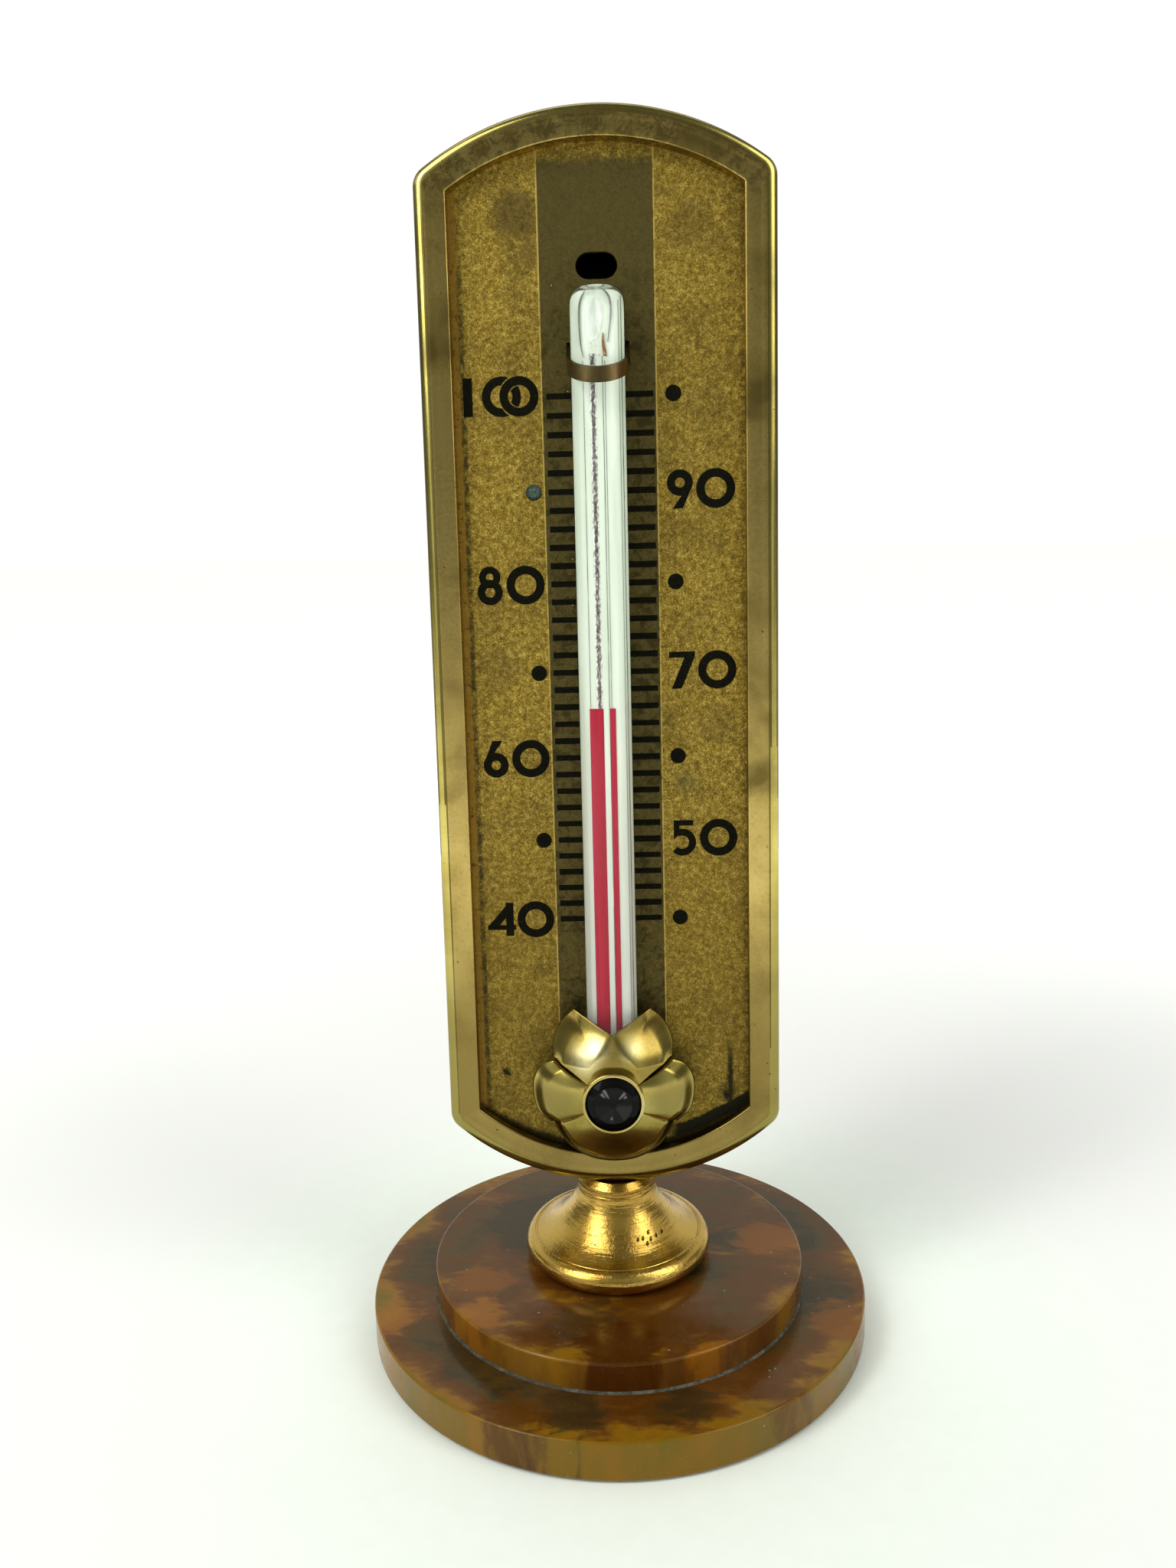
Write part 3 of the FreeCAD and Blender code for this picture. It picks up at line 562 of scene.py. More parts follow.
def black_glass():
    """Black glass: painted reflections of its cut underside show faintly through the flat table as grey
    wedges, with a few painted glints.
    """
    glass = Finish("black_glass", on_panel=True)
    away_z = glass.math("SUBTRACT", glass.z, FLOWER_CENTRE)
    turn = glass.math("ARCTAN2", glass.x, away_z)
    sector = glass.math("FLOOR", glass.math("MULTIPLY_ADD", turn, STONE_SECTORS / (2 * pi), 0.35))
    random_grey = glass.node("ShaderNodeTexWhiteNoise", {"noise_dimensions": "1D"}, W=sector)
    grey = glass.span(random_grey.outputs["Value"], 0.0, 1.0, 0.006, 0.022)
    reach = glass.reach(0.0, FLOWER_CENTRE)
    star = glass.times(glass.span(reach, STAR_RADIUS - 0.06, STAR_RADIUS + 0.06, 1.0, 0.0),
                       glass.span(reach, 0.1, 0.5))
    lower = glass.span(away_z, 0.2, -0.3, 0.15, 1.0)
    facet_reflections = glass.times(glass.times(star, lower), grey)
    # painted glints: bright slivers standing for lamps seen in the stone
    for middle, near, far in PAINTED_GLINTS:
        along = glass.times(glass.span(reach, near, near + 0.35), glass.span(reach, far - 0.08, far, 1, 0))
        painted_glint = glass.times(along, glass.band(turn, radians(middle), 0.03, 0.13, 0.12))
        facet_reflections = glass.larger(facet_reflections, painted_glint)
    colour = glass.mix(facet_reflections, (0.002, 0.002, 0.002), (1.0, 1.0, 1.0))
    dust = glass.span(glass.noise(5.0, 4, 0.8), 0.68, 0.8, 0.0, 0.12)
    colour = glass.mix(dust, colour, (0.25, 0.25, 0.24))
    return glass.shade(Base_Color=colour, Roughness=glass.span(dust, 0.0, 0.12, 0.05, 0.3),
                       Specular_IOR_Level=0.1)


# ---- glass tube, enamel and spirit --------------------------------------------------------------

def clear_glass():
    """Clear glass front of the tube: see-through, with a sharp gloss at its edges."""
    glass = Finish("tube_glass", on_panel=True)
    fresnel = glass.node("ShaderNodeFresnel", IOR=1.32).outputs["Fac"]
    smears = glass.span(glass.noise(0.8, 4, 0.7, 0.6, glass.stretched(1, 1, 0.2)), 0.3, 0.7, 0.02, 0.09)
    clear = glass.node("ShaderNodeBsdfTransparent", Color=(0.985, 0.995, 0.98))
    gloss = glass.node("ShaderNodeBsdfGlossy", Color=(1, 1, 1), Roughness=smears)
    both = glass.node("ShaderNodeMixShader", Fac=fresnel)
    glass.put(both.inputs[1], clear.outputs["BSDF"])
    glass.put(both.inputs[2], gloss.outputs["BSDF"])
    glass.tree.links.new(both.outputs["Shader"], glass.output.inputs["Surface"])
    return glass.material


def enamel_finish():
    """White enamel behind the bore, seen through greenish glass, with painted shade at the tube's sides and
    a faint painted glow.
    """
    enamel = Finish("enamel", on_panel=True)
    across = enamel.math("ABSOLUTE", enamel.x)
    tone = enamel.noise(0.6, 3, 0.5, place=enamel.stretched(3, 1, 0.12))
    colour = enamel.ramp(tone, (0.35, (0.72, 0.81, 0.68)), (0.65, (0.83, 0.90, 0.79)))
    # painted shade at the sides of the tube
    colour = enamel.mix(enamel.span(across, 2.15, 2.45, 0.0, 0.30), colour, (0.55, 0.62, 0.51))
    low = enamel.span(enamel.z, 66, 30, 0.0, 0.45)
    colour = enamel.mix(low, colour, (0.50, 0.49, 0.46))
    # faint painted glow
    return enamel.shade(Base_Color=colour, Roughness=0.4, Emission_Color=colour, Emission_Strength=0.06,
                        Normal=enamel.bump(tone, 0.01))


def bore_finish():
    """The empty bore: a silver line with a dark grey-brown core and bright specks."""
    bore = Finish("bore", on_panel=True)
    specks = bore.noise(6.0, 2, 0.7, place=bore.stretched(0.8, 1, 0.4))
    core = bore.span(bore.apart(bore.x, -0.50), 0.08, 0.24, 0.0, 0.22)
    tone = bore.math("ADD", core, specks)
    colour = bore.ramp(tone, (0.42, (0.085, 0.065, 0.06)), (0.54, (0.23, 0.20, 0.19)),
                       (0.64, (0.48, 0.48, 0.45)), (0.74, (0.88, 0.90, 0.86)))
    return bore.shade(Base_Color=colour, Roughness=0.35)


def line_finish():
    """Thin grey lines where the glass bends the bore's edges."""
    line = Finish("glass_line", on_panel=True)
    tone = line.noise(1.5, 4, 0.6, place=line.stretched(1, 1, 0.3))
    colour = line.ramp(tone, (0.35, (0.14, 0.15, 0.12)), (0.6, (0.30, 0.32, 0.27)),
                       (0.72, (0.6, 0.63, 0.56)))
    return line.shade(Base_Color=colour, Roughness=0.4)


def spirit_finish():
    """Red spirit, with the faint streaks that the round glass draws in it."""
    spirit = Finish("red_spirit", on_panel=True)
    streaks = spirit.noise(2.2, 3, 0.6, place=spirit.stretched(2.2, 1, 0.03))
    colour = spirit.ramp(streaks, (0.34, (0.36, 0.0, 0.016)), (0.5, (0.44, 0.0, 0.025)),
                         (0.66, (0.50, 0.003, 0.038)))
    specks = spirit.times(spirit.span(spirit.noise(3.5, 4, 0.8, 1.0), 0.69, 0.75),
                          spirit.span(spirit.z, 60, 52))
    colour = spirit.mix(specks, colour, (0.85, 0.70, 0.70))
    return spirit.shade(Base_Color=colour, Roughness=0.4, Specular_IOR_Level=0.2)


def highlight_and_fleck_finish():
    """White light caught in the curve of the expansion chamber."""
    silver = Finish("chamber_highlight_and_flecks", on_panel=True)
    tone = silver.noise(1.2, 3, 0.6, place=silver.stretched(1, 1, 0.3))
    colour = silver.ramp(tone, (0.35, (0.55, 0.61, 0.54)), (0.6, (0.84, 0.88, 0.83)))
    return silver.shade(Base_Color=colour, Roughness=0.3, Emission_Color=colour, Emission_Strength=0.1)


def residue_finish():
    """Dried brown spirit left in the expansion chamber."""
    residue = Finish("residue", on_panel=True)
    tone = residue.noise(3.0, 4, 0.7)
    colour = residue.ramp(tone, (0.35, (0.16, 0.055, 0.02)), (0.6, (0.38, 0.20, 0.09)),
                          (0.75, (0.7, 0.62, 0.5)))
    return residue.shade(Base_Color=colour, Roughness=0.5)


def ink_finish():
    """Worn black scale ink with a green cast where the brass shows through."""
    ink = Finish("ink", on_panel=True)
    worn = ink.noise(5.0, 4, 0.75)
    colour = ink.ramp(worn, (0.48, (0.004, 0.004, 0.002)), (0.64, (0.010, 0.010, 0.005)),
                      (0.76, (0.06, 0.055, 0.022)))
    verdigris = ink.spot(-6.35, 84.5, 0.62, 0.3)
    green = ink.ramp(worn, (0.4, (0.030, 0.052, 0.038)), (0.7, (0.12, 0.18, 0.14)))
    colour = ink.mix(verdigris, colour, green)
    return ink.shade(Base_Color=colour, Roughness=0.75, Specular_IOR_Level=0.03,
                     Normal=ink.bump(worn, 0.012))


# ---- the scale's marks --------------------------------------------------------------------------

INK_FRONT = DIAL_FRONT - 0.02
STROKE_STEP = 0.003           # each stroke of a figure is a hair further forward than the one before
ZERO_OUTER = 1.83
ZERO_INNER = 1.03
LAST_TICK = 30                # number of the lowest tick; the highest is 0
TICKS_IN_TEN = 5              # each tick is two degrees

# Strokes of the figures, from the middle of each. A tuple is a ring: x, z, outer and inner radius, and the
# angles where it starts and ends. A list is the outline of a straight stroke.
NINE = ((0, 0.58, 1.22, 0.46, 0, 360),
        [(1.21, 0.40), (0.27, -1.80), (-0.70, -1.80), (0.28, -0.45), (0.70, 0.0)])
EIGHT = ((0, 0.80, 1.02, 0.36, 0, 360), (0, -0.62, 1.20, 0.48, 0, 360))
SEVEN = ([(-1.24, 1.78), (1.24, 1.78), (1.24, 1.35), (-0.06, -1.77), (-1.02, -1.77), (0.22, 1.2),
          (-1.24, 1.2)],)
FIVE = ([(-1.03, 1.75), (0.88, 1.75), (0.88, 1.22), (-0.50, 1.22), (-0.44, 0.35), (-1.03, -0.10)],
        (-0.2, -0.43, 1.34, 0.66, -135, 118))
FOUR = ([(0.72, 1.72), (-1.39, -0.72), (-1.39, -1.03), (-0.25, -0.60), (0.50, 0.25), (0.50, 1.2)],
        [(-1.39, -0.56), (1.42, -0.56), (1.42, -1.03), (-1.39, -1.03)],
        [(0.44, 1.72), (1.2, 1.72), (1.2, -1.66), (0.44, -1.66)])
# the tens from 90 down to 40; -1 turns a figure upside down, so that the nine makes the six
TENS = ((NINE, 1), (EIGHT, 1), (SEVEN, 1), (NINE, -1), (FIVE, 1), (FOUR, 1))


def mark_height(step):
    """Height of a tick on the panel: step 0 is 100 degrees and each step is 2 degrees lower."""
    return 93.14 - 1.761 * step + 0.0031 * step ** 2


def add_ink(mesh, outline, lift=0.0):
    """Flat shape of ink on the dial."""
    add_prism(mesh, outline, INK_FRONT - lift, DIAL_FRONT)


def draw_zero(mesh, x, z):
    add_ring(mesh, x, z, ZERO_OUTER, ZERO_INNER, INK_FRONT, DIAL_FRONT)


def draw_figure(mesh, strokes, x, z, way):
    """One figure of the scale with its middle at a point."""
    for index, stroke in enumerate(strokes):
        lift = STROKE_STEP * index
        if isinstance(stroke, tuple):
            ring_x, ring_z, outer, inner, start, end = stroke
            add_ring(mesh, x + way * ring_x, z + way * ring_z, outer, inner, INK_FRONT - lift, DIAL_FRONT,
                     start, end)
        else:
            add_ink(mesh, [(x + way * px, z + way * pz) for px, pz in stroke], lift)


def crossing(apart, radius, other):
    """Angle on one circle where another circle, some distance to its right, crosses it."""
    cosine = (apart ** 2 + radius ** 2 - other ** 2) / (2 * apart * radius)
    return degrees(acos(cosine))


def draw_hundred(mesh, z):
    """A bar and two linked zeros: a fine gap keeps the first clear of the second."""
    add_ink(mesh, [(-12.69, z - 1.75), (-11.83, z - 1.75), (-11.83, z + 1.75), (-12.69, z + 1.75)])
    apart = 1.65
    second = -7.47
    first = second - apart
    gap = 0.11
    draw_zero(mesh, second, z)
    # the first zero is left outside the second's outer circle, and inside its inner one
    for around, side, whole, steps, end_steps in ((ZERO_OUTER + gap, 1, 360, 40, 12),
                                                  (ZERO_INNER - gap, -1, 0, 16, 8)):
        outer_turn = side * crossing(apart, ZERO_OUTER, around)
        inner_turn = side * crossing(apart, ZERO_INNER, around)
        outer_back = side * crossing(apart, around, ZERO_OUTER)
        inner_back = side * crossing(apart, around, ZERO_INNER)
        add_ink(mesh, arc(first, z, ZERO_OUTER, outer_turn, whole - outer_turn, steps)
                + arc(second, z, around, 180 + outer_back, 180 + inner_back, end_steps)
                + arc(first, z, ZERO_INNER, whole - inner_turn, inner_turn, steps)
                + arc(second, z, around, 180 - inner_back, 180 - outer_back, end_steps))


def scale_ticks():
    """One short bar each side of the tube for every two degrees, from 100 down to 40."""
    wobble = random.Random(4)
    mesh = bmesh.new()
    for step in range(LAST_TICK + 1):
        z = mark_height(step)
        for side, reach in ((-1, 4.95), (1, 5.1)):
            half = 0.28 + wobble.uniform(-0.02, 0.02)
            end = side * (reach + wobble.uniform(-0.06, 0.06))
            inner = side * (TUBE_RADIUS - 0.9)
            add_ink(mesh, [(inner, z - half), (end, z - half), (end, z + half), (inner, z + half)])
    return finish_mesh("scale_ticks", mesh, ink, smooth=False)


def scale_numbers():
    """Numbers each ten degrees, in turn on the left and on the right, with a dot opposite."""
    mesh = bmesh.new()
    draw_hundred(mesh, mark_height(0) + 0.1)
    for index, (strokes, way) in enumerate(TENS):
        z = mark_height(TICKS_IN_TEN * (index + 1))
        on_right = index % 2 == 0
        draw_figure(mesh, strokes, 7.4 if on_right else -10.8, z, way)
        draw_zero(mesh, 10.75 if on_right else -7.4, z)
    for step in range(0, LAST_TICK + 1, TICKS_IN_TEN):
        dot_x = 6.9 if step % (2 * TICKS_IN_TEN) == 0 else -6.35
        add_ink(mesh, arc(dot_x, mark_height(step), 0.75, 0, 360)[:-1])
    return finish_mesh("scale_numbers", mesh, ink, smooth=False)


# ---- tube set -----------------------------------------------------------------------------------

STRIPE_BACK = TUBE_AXIS       # the enamel's flat face, that everything seen in the glass lies on


def tube_place(x, y, z):
    """Point given from the tube's own axis."""
    return panel_point(x, TUBE_AXIS + y, z)


def glass_front():
    """The clear outside of the tube, with a rounded bottom and softly squared top."""
    shoulder = 1.05
    foot = 1.6
    profile = [(TUBE_RADIUS - foot + foot * sin(turn), TUBE_BOTTOM + foot - foot * cos(turn))
               for turn in quarter_turn(8)]
    profile += [(TUBE_RADIUS - shoulder + shoulder * cos(turn),
                 TUBE_TOP - shoulder + shoulder * sin(turn)) for turn in quarter_turn(12)]
    mesh = bmesh.new()
    turned_solid(mesh, profile, tube_place, 72)
    return finish_mesh("tube_glass_wall", mesh, glass, smooth=True)


def enamel_back():
    """Half-round of white enamel that fills the back of the tube, its flat face to the front."""
    radius = TUBE_RADIUS - 0.06
    dome = 1.2
    # height, and how far the half-round is drawn in there: sloped at the foot and domed at the top
    levels = [(TUBE_BOTTOM + 0.4, 1.0), (TUBE_BOTTOM + 1.6, 0.0)]
    levels += [(TUBE_TOP - 1.35 + dome * sin(turn), dome * (1 - cos(turn)))
               for turn in quarter_turn(8)]
    turns = [pi * step / 24 for step in range(25)]
    mesh = bmesh.new()
    closed_tube(mesh, [[tube_place((radius - shrink) * cos(turn), (radius - shrink) * sin(turn), z)
                        for turn in turns] for z, shrink in levels])
    return finish_mesh("tube_enamel", mesh, enamel, smooth=False)


def add_stripe(mesh, x0, x1, low, high, thick, steps=8):
    """Slim rod with a low domed front, on the enamel between two x and two heights."""
    middle = (x0 + x1) / 2
    half = (x1 - x0) / 2
    turns = [pi * step / steps for step in range(steps + 1)]
    closed_tube(mesh, [[panel_point(middle + half * cos(turn),
                                    STRIPE_BACK - 0.005 - thick * sin(turn), z) for turn in turns]
                       for z in (low, high)])


def add_flake(mesh, outline, thick):
    """Thin flat shape on the enamel."""
    add_prism(mesh, outline, STRIPE_BACK - thick, STRIPE_BACK - 0.01)


WIDE_RED = (-1.5, -0.17)
NARROW_RED = (0.42, 0.98)
RED_THICK = 0.20


def spirit_stripes(name, low, high):
    """The wide and the narrow red line that the round glass makes of the spirit's thread."""
    mesh = bmesh.new()
    for x0, x1 in (WIDE_RED, NARROW_RED):
        add_stripe(mesh, x0, x1, low, high, RED_THICK)
    return finish_mesh(name, mesh, spirit, smooth=True)


def bore_line():
    """Silvery empty bore, from the bulb to the expansion chamber."""
    mesh = bmesh.new()
    add_stripe(mesh, -0.80, -0.22, 30.5, 96.4, 0.10)
    return finish_mesh("bore_line", mesh, bore, smooth=True)


# x, half width, lowest and highest point of the fine lines in the glass
FINE_LINES = ((-1.38, 0.025, 31.0, 95.8), (0.40, 0.035, 31.0, 96.2), (0.62, 0.025, 31.0, 95.8),
              (2.16, 0.04, 24.5, 101.4), (1.92, 0.02, 24.5, 101.0))
CHAMBER_OUTLINE = (
    [(-1.30, 96.1), (-1.52, 97.2), (-1.62, 99.3), (-1.50, 100.9), (-0.95, 101.9), (-0.2, 102.1)],
    [(0.92, 97.4), (1.16, 99.0), (1.26, 100.2), (1.12, 101.3), (0.62, 101.95), (0.15, 102.1)])


def glass_lines():
    """Fine grey lines in the glass, and the outline of the expansion chamber."""
    mesh = bmesh.new()
    for x, half, low, high in FINE_LINES:
        add_stripe(mesh, x - half, x + half, low, high, 0.06)
    for points in CHAMBER_OUTLINE:
        line = through(points, 8)
        widths = [0.02 + 0.075 * sin(pi * index / (len(line) - 1)) for index in range(len(line))]
        left = [(x - wide, z) for (x, z), wide in zip(line, widths)]
        right = [(x + wide, z) for (x, z), wide in zip(line, widths)]
        add_flake(mesh, left + right[::-1], 0.16)
    return finish_mesh("glass_lines", mesh, grey_line, smooth=False)


def chamber_highlight_and_flecks():
    """Painted highlight on the face of the expansion chamber, with a few silver flecks at its foot."""
    mesh = bmesh.new()
    left = [(-0.75, 97.4), (-1.02, 98.6), (-0.98, 100.2), (-0.55, 101.2)]
    right = [(0.25, 101.3), (0.55, 100.3), (0.45, 98.9), (0.0, 97.7)]
    add_flake(mesh, through(left, 5) + through(right, 5), 0.06)
    flecks = random.Random(12)
    for _ in range(9):
        x = flecks.uniform(-0.75, 0.1)
        z = flecks.uniform(96.3, 97.9)
        size = flecks.uniform(0.07, 0.15)
        add_flake(mesh, arc(x, z, size, 0, 300, 5), 0.12)
    return finish_mesh("chamber_highlight_and_flecks", mesh, silver, smooth=False)


def chamber_residue():
    """Brown streak of dried spirit low in the expansion chamber."""
    mesh = bmesh.new()
    left = [(0.46, 98.2), (0.40, 97.4), (0.45, 96.7), (0.50, 96.2)]
    right = [(0.82, 96.2), (0.76, 96.7), (0.64, 97.4), (0.56, 98.2)]
    add_flake(mesh, through(left, 4) + through(right, 4), 0.12)
    return finish_mesh("chamber_residue", mesh, residue, smooth=False)


# ---- frame --------------------------------------------------------------------------------------

BEAD_WIDTH = 1.15             # the frame's rounded edge, and its depth
BEAD_DEPTH = 0.8
BEAD_TURNS = [radians(90 - 7.5 * step) for step in range(13)]
# cross-section of the pressed frame: inset from the panel's outline, depth behind its front plane
BEAD_SECTION = [(BEAD_WIDTH * (1 - sin(turn)), BEAD_DEPTH * (1 - cos(turn)))
                for turn in BEAD_TURNS] + [(1.3, 0.012)]
BORDER_SECTION = [(1.45, 0.038), (1.6, 0.06), (1.75, 0.068), (2.86, 0.07), (2.95, 0.10), (3.0, 0.20)]
HIDDEN_SECTION = [(3.0, 1.5), (2.5, 1.5), (2.5, 0.9), (0.7, 0.9), (0.7, 6.5), (1.7, 6.5), (1.7, 7.0),
                  (0.4, 7.0), (0.12, 6.9), (0.0, 6.6), (0.0, 0.9)]
EDGE_ROWS = 5                 # rows of the bead, from the side, painted dark as shade at the sheet's edge
LINE_ROWS = (9, 11)           # rows of the painted dark reflection line inside the bead, and the first row of the border
LINE_FOOT = 65                # below this height the painted dark rows become fewer, one for each LINE_STEP
LINE_STEP = 5
LINE_END = 26                 # the painted dark line inside the bead stops here, over the bottom arc
INNER_CORNER = 0.25


def panel_outline(inset):
    """Points round the panel's outline, moved in by a distance: two arcs with rounded corners."""
    corner = max(CORNER - inset, INNER_CORNER)
    x = PANEL_HALF - inset - corner
    top = PANEL_TOP - TOP_ARC
    bottom = PANEL_BOTTOM + BOTTOM_ARC
    top_rise = sqrt((TOP_ARC - inset - corner) ** 2 - x ** 2)
    bottom_rise = sqrt((BOTTOM_ARC - inset - corner) ** 2 - x ** 2)
    top_turn = degrees(atan2(top_rise, x))
    bottom_turn = degrees(atan2(bottom_rise, x))
    side_heights = range(30, 106, 5)
    return (arc(x, top + top_rise, corner, 0, top_turn, 8)[:-1]
            + arc(0, top, TOP_ARC - inset, top_turn, 180 - top_turn, 64)[:-1]
            + arc(-x, top + top_rise, corner, 180 - top_turn, 180, 8)
            + [(-x - corner, z) for z in side_heights[::-1]]
            + arc(-x, bottom - bottom_rise, corner, 180, 180 + bottom_turn, 8)[:-1]
            + arc(0, bottom, BOTTOM_ARC - inset, 180 + bottom_turn, 360 - bottom_turn, 64)[:-1]
            + arc(x, bottom - bottom_rise, corner, 360 - bottom_turn, 360, 8)
            + [(x + corner, z) for z in side_heights])


def frame_rim():
    """Pressed frame: a round bead, a flat border, the window's turned-in edge and a crimped back."""
    section = BEAD_SECTION + BORDER_SECTION + HIDDEN_SECTION
    mesh = bmesh.new()
    lines = [[mesh.verts.new(panel_point(x, PANEL_FRONT + depth, z)) for x, z in panel_outline(inset)]
             for inset, depth in section]
    for row, line in enumerate(lines):
        following = lines[(row + 1) % len(lines)]
        on_front = row < len(BEAD_SECTION + BORDER_SECTION)
        for index in range(len(line)):
            step = (index + 1) % len(line)
            face = mesh.faces.new((line[index], line[step], following[step], following[index]))
            z = line[index].co.z
            # edge_shade_brass paints the outer rows of the bead dark as shade, and a line of rows inside it
            # as a dark reflection; the hidden faces share it
            fewer = max(0, min(EDGE_ROWS, int((LINE_FOOT - z) / LINE_STEP)))
            line_row = LINE_ROWS[0] + min(fewer, 1)
            if row >= LINE_ROWS[1] and on_front:
                face.material_index = 1
            elif not on_front or row < EDGE_ROWS - fewer or (line_row <= row and z > LINE_END):
                face.material_index = 2
    bmesh.ops.remove_doubles(mesh, verts=mesh.verts, dist=MERGE_GAP)
    piece = finish_mesh("frame_rim", mesh, frame_brass, smooth=True)
    piece.data.materials.append(border_brass)
    piece.data.materials.append(edge_shade_brass)
    return piece


# ---- flower -------------------------------------------------------------------------------------

NOTCH = (0, 32.75)
UPPER_TIP = (3.8, 34.75)
UPPER_SIDE = [UPPER_TIP, (5.15, 33.2), (5.85, 31.4), (5.75, 29.7)]
SIDE_PETAL = [(5.75, 29.7), (7.2, 28.9), (8.0, 27.0), (7.6, 24.4), (6.2, 23.2)]
LOW_PETAL = [(6.2, 23.2), (5.3, 21.5), (4.3, 20.2), (2.3, 18.95), (0, 18.6), (-2.3, 18.95)]
FACET_FOOT = (2.3, 29.5)      # lower corner of the flat facet between the upper petals
FLOWER_CREST = 3.98           # highest part of the flower in front of the frame
FLOWER_INNER = 2.45


def above_zero(value, soft):
    """The value where it is above zero and nothing below it, with a soft bend between."""
    return (value + sqrt(value ** 2 + soft ** 2)) / 2


def upper_height(x, z):
    """Height of the upper petals: a flat facet in the middle, and a slope down on each side of it."""
    share = min(1.0, above_zero((NOTCH[1] - z) / (NOTCH[1] - FACET_FOOT[1]), 0.25))
    outside = above_zero(abs(x) - share * FACET_FOOT[0], 0.3)
    return FLOWER_CREST - 0.52 * outside - 0.01 * outside ** 2 - 0.12 * above_zero(z - 30.5, 0.5)


def lower_height(x, z):
    """Height of the side and bottom petals: a low dome."""
    reach = max(0.0, hypot(x, z - FLOWER_CENTRE) - FLOWER_INNER)
    return FLOWER_CREST - 0.24 * reach - 0.035 * reach ** 2


def flower_petals():
    """Five pressed petals: ribs run from under the collar out to the outline."""
    v_edge = [(UPPER_TIP[0] * step / 24, NOTCH[1] + (UPPER_TIP[1] - NOTCH[1]) * step / 24)
              for step in range(24)]
    point_gap = 0.34          # about how far apart the outline's points are
    fold_spread = 0.18
    # each petal: outline, surface, depth of the fold at its start and end, swell, drop of its rim
    right = [(v_edge + through(UPPER_SIDE, 10), upper_height, 0.0, 0.75, 0.20, 0.35),
             (through(SIDE_PETAL, 12), lower_height, 0.55, 0.22, 0.25, 0.65),
             (through(LOW_PETAL, 10)[:41], lower_height, 0.22, 0.0, 0.05, 1.25)]
    outline = []
    for points, surface, start_fold, end_fold, swell, drop in right:
        for index, (x, z) in enumerate(points):
            share = index / (len(points) - 1)
            from_start = index * point_gap
            from_end = (len(points) - 1 - index) * point_gap
            fold = (start_fold * exp(-from_start ** 2 / fold_spread)
                    + end_fold * exp(-from_end ** 2 / fold_spread))
            rim = drop * smooth_step(index, 20, 30) if surface is upper_height else drop
            outline.append((x, z, surface, fold, swell * sin(pi * share), rim))
    mirrored = [(-x, *rest) for x, *rest in outline[1:-1]]

    ribs = 56
    mesh = bmesh.new()
    rows = []
    for rib in range(ribs + 1):
        share = rib / ribs
        row = []
        for x, z, surface, fold, lift, drop in outline + mirrored[::-1]:
            inner = FLOWER_INNER / hypot(x, z - FLOWER_CENTRE)
            part = inner + (1 - inner) * share
            px = x * part
            pz = FLOWER_CENTRE + (z - FLOWER_CENTRE) * part
            height = surface(px, pz) - fold * smooth_step(share, 0.05, 0.5)
            height += lift * sin(pi * share)
            height -= drop * smooth_step(share, 0.72, 1.0)
            row.append(panel_point(px, PANEL_FRONT - height, pz))
        rows.append(row)
    grid_faces(mesh, rows, closed=True)
    piece = finish_mesh("flower_petals", mesh, flower_brass, smooth=True)
    sheet = piece.modifiers.new("sheet", "SOLIDIFY")
    sheet.thickness = 0.3 * MM
    sheet.offset = -1
    return piece


def flower_tabs():
    """Two tabs that go from the flower through the dial and are folded over behind it."""
    fore = PANEL_FRONT - 1.7
    inner = DIAL_BACK + 0.1
    outer = DIAL_BACK + 0.4
    bend = [(6.3, fore), (6.7, fore), (6.7, inner), (7.9, inner), (7.9, outer), (6.3, outer)]
    mesh = bmesh.new()
    for side in (-1, 1):
        closed_tube(mesh, [[panel_point(side * x, y, z) for x, y in bend] for z in (24.2, 26.2)])
    return finish_mesh("flower_tabs", mesh, flower_brass, smooth=False)


def faceted_stone():
    """Round black stone: a plain sloping edge and a flat table."""
    mesh = bmesh.new()
    profile = [(STONE_RADIUS - 0.02, 4.2), (STONE_RADIUS - 0.02, 4.72), (2.0, 5.2), (1.85, 5.25)]

    def place(x, y, height):
        return panel_point(x, PANEL_FRONT - height, FLOWER_CENTRE + y)

    turned_solid(mesh, profile, place, STONE_SECTORS * 6)
    return finish_mesh("faceted_stone", mesh, black_stone, smooth=True)


def felt_disc():
    """Felt disc with a slightly ragged edge and a matted face."""
    low, high = (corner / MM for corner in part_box("felt_pad"))
    radius = high.x
    steps = 180
    middle = 0.5
    wobble = random.Random(7)
    rim = [wobble.uniform(-0.12, 0.0) for _ in range(steps)]

    def place(x, y, z):
        turn = atan2(y, x) / (2 * pi) * steps
        ragged = rim[int(turn) % steps]
        grow = 1 + (ragged / radius if hypot(x, y) > radius - 0.3 else 0)
        return Vector((x * grow, y * grow, z))

    profile = [(middle, high.z), (radius - 0.15, high.z), (radius, high.z - 0.1), (radius, low.z + 0.12)]
    profile += [(radius - 0.14, low.z + 0.03), (radius - 0.5, low.z), (middle, low.z)]
    mesh = bmesh.new()
    turned_solid(mesh, profile, place, steps)
    return finish_mesh("felt_disc", mesh, felt, smooth=True)


# ---- finishes and pieces ------------------------------------------------------------------------

# darker brass, painted on the frame's bead as shade and dark reflection
edge_shade_brass = brass("edge_shade_brass", (0.15, 0.117, 0.032), (0.21, 0.17, 0.05), (0.09, 0.068, 0.018),
                   rough=(0.25, 0.4))
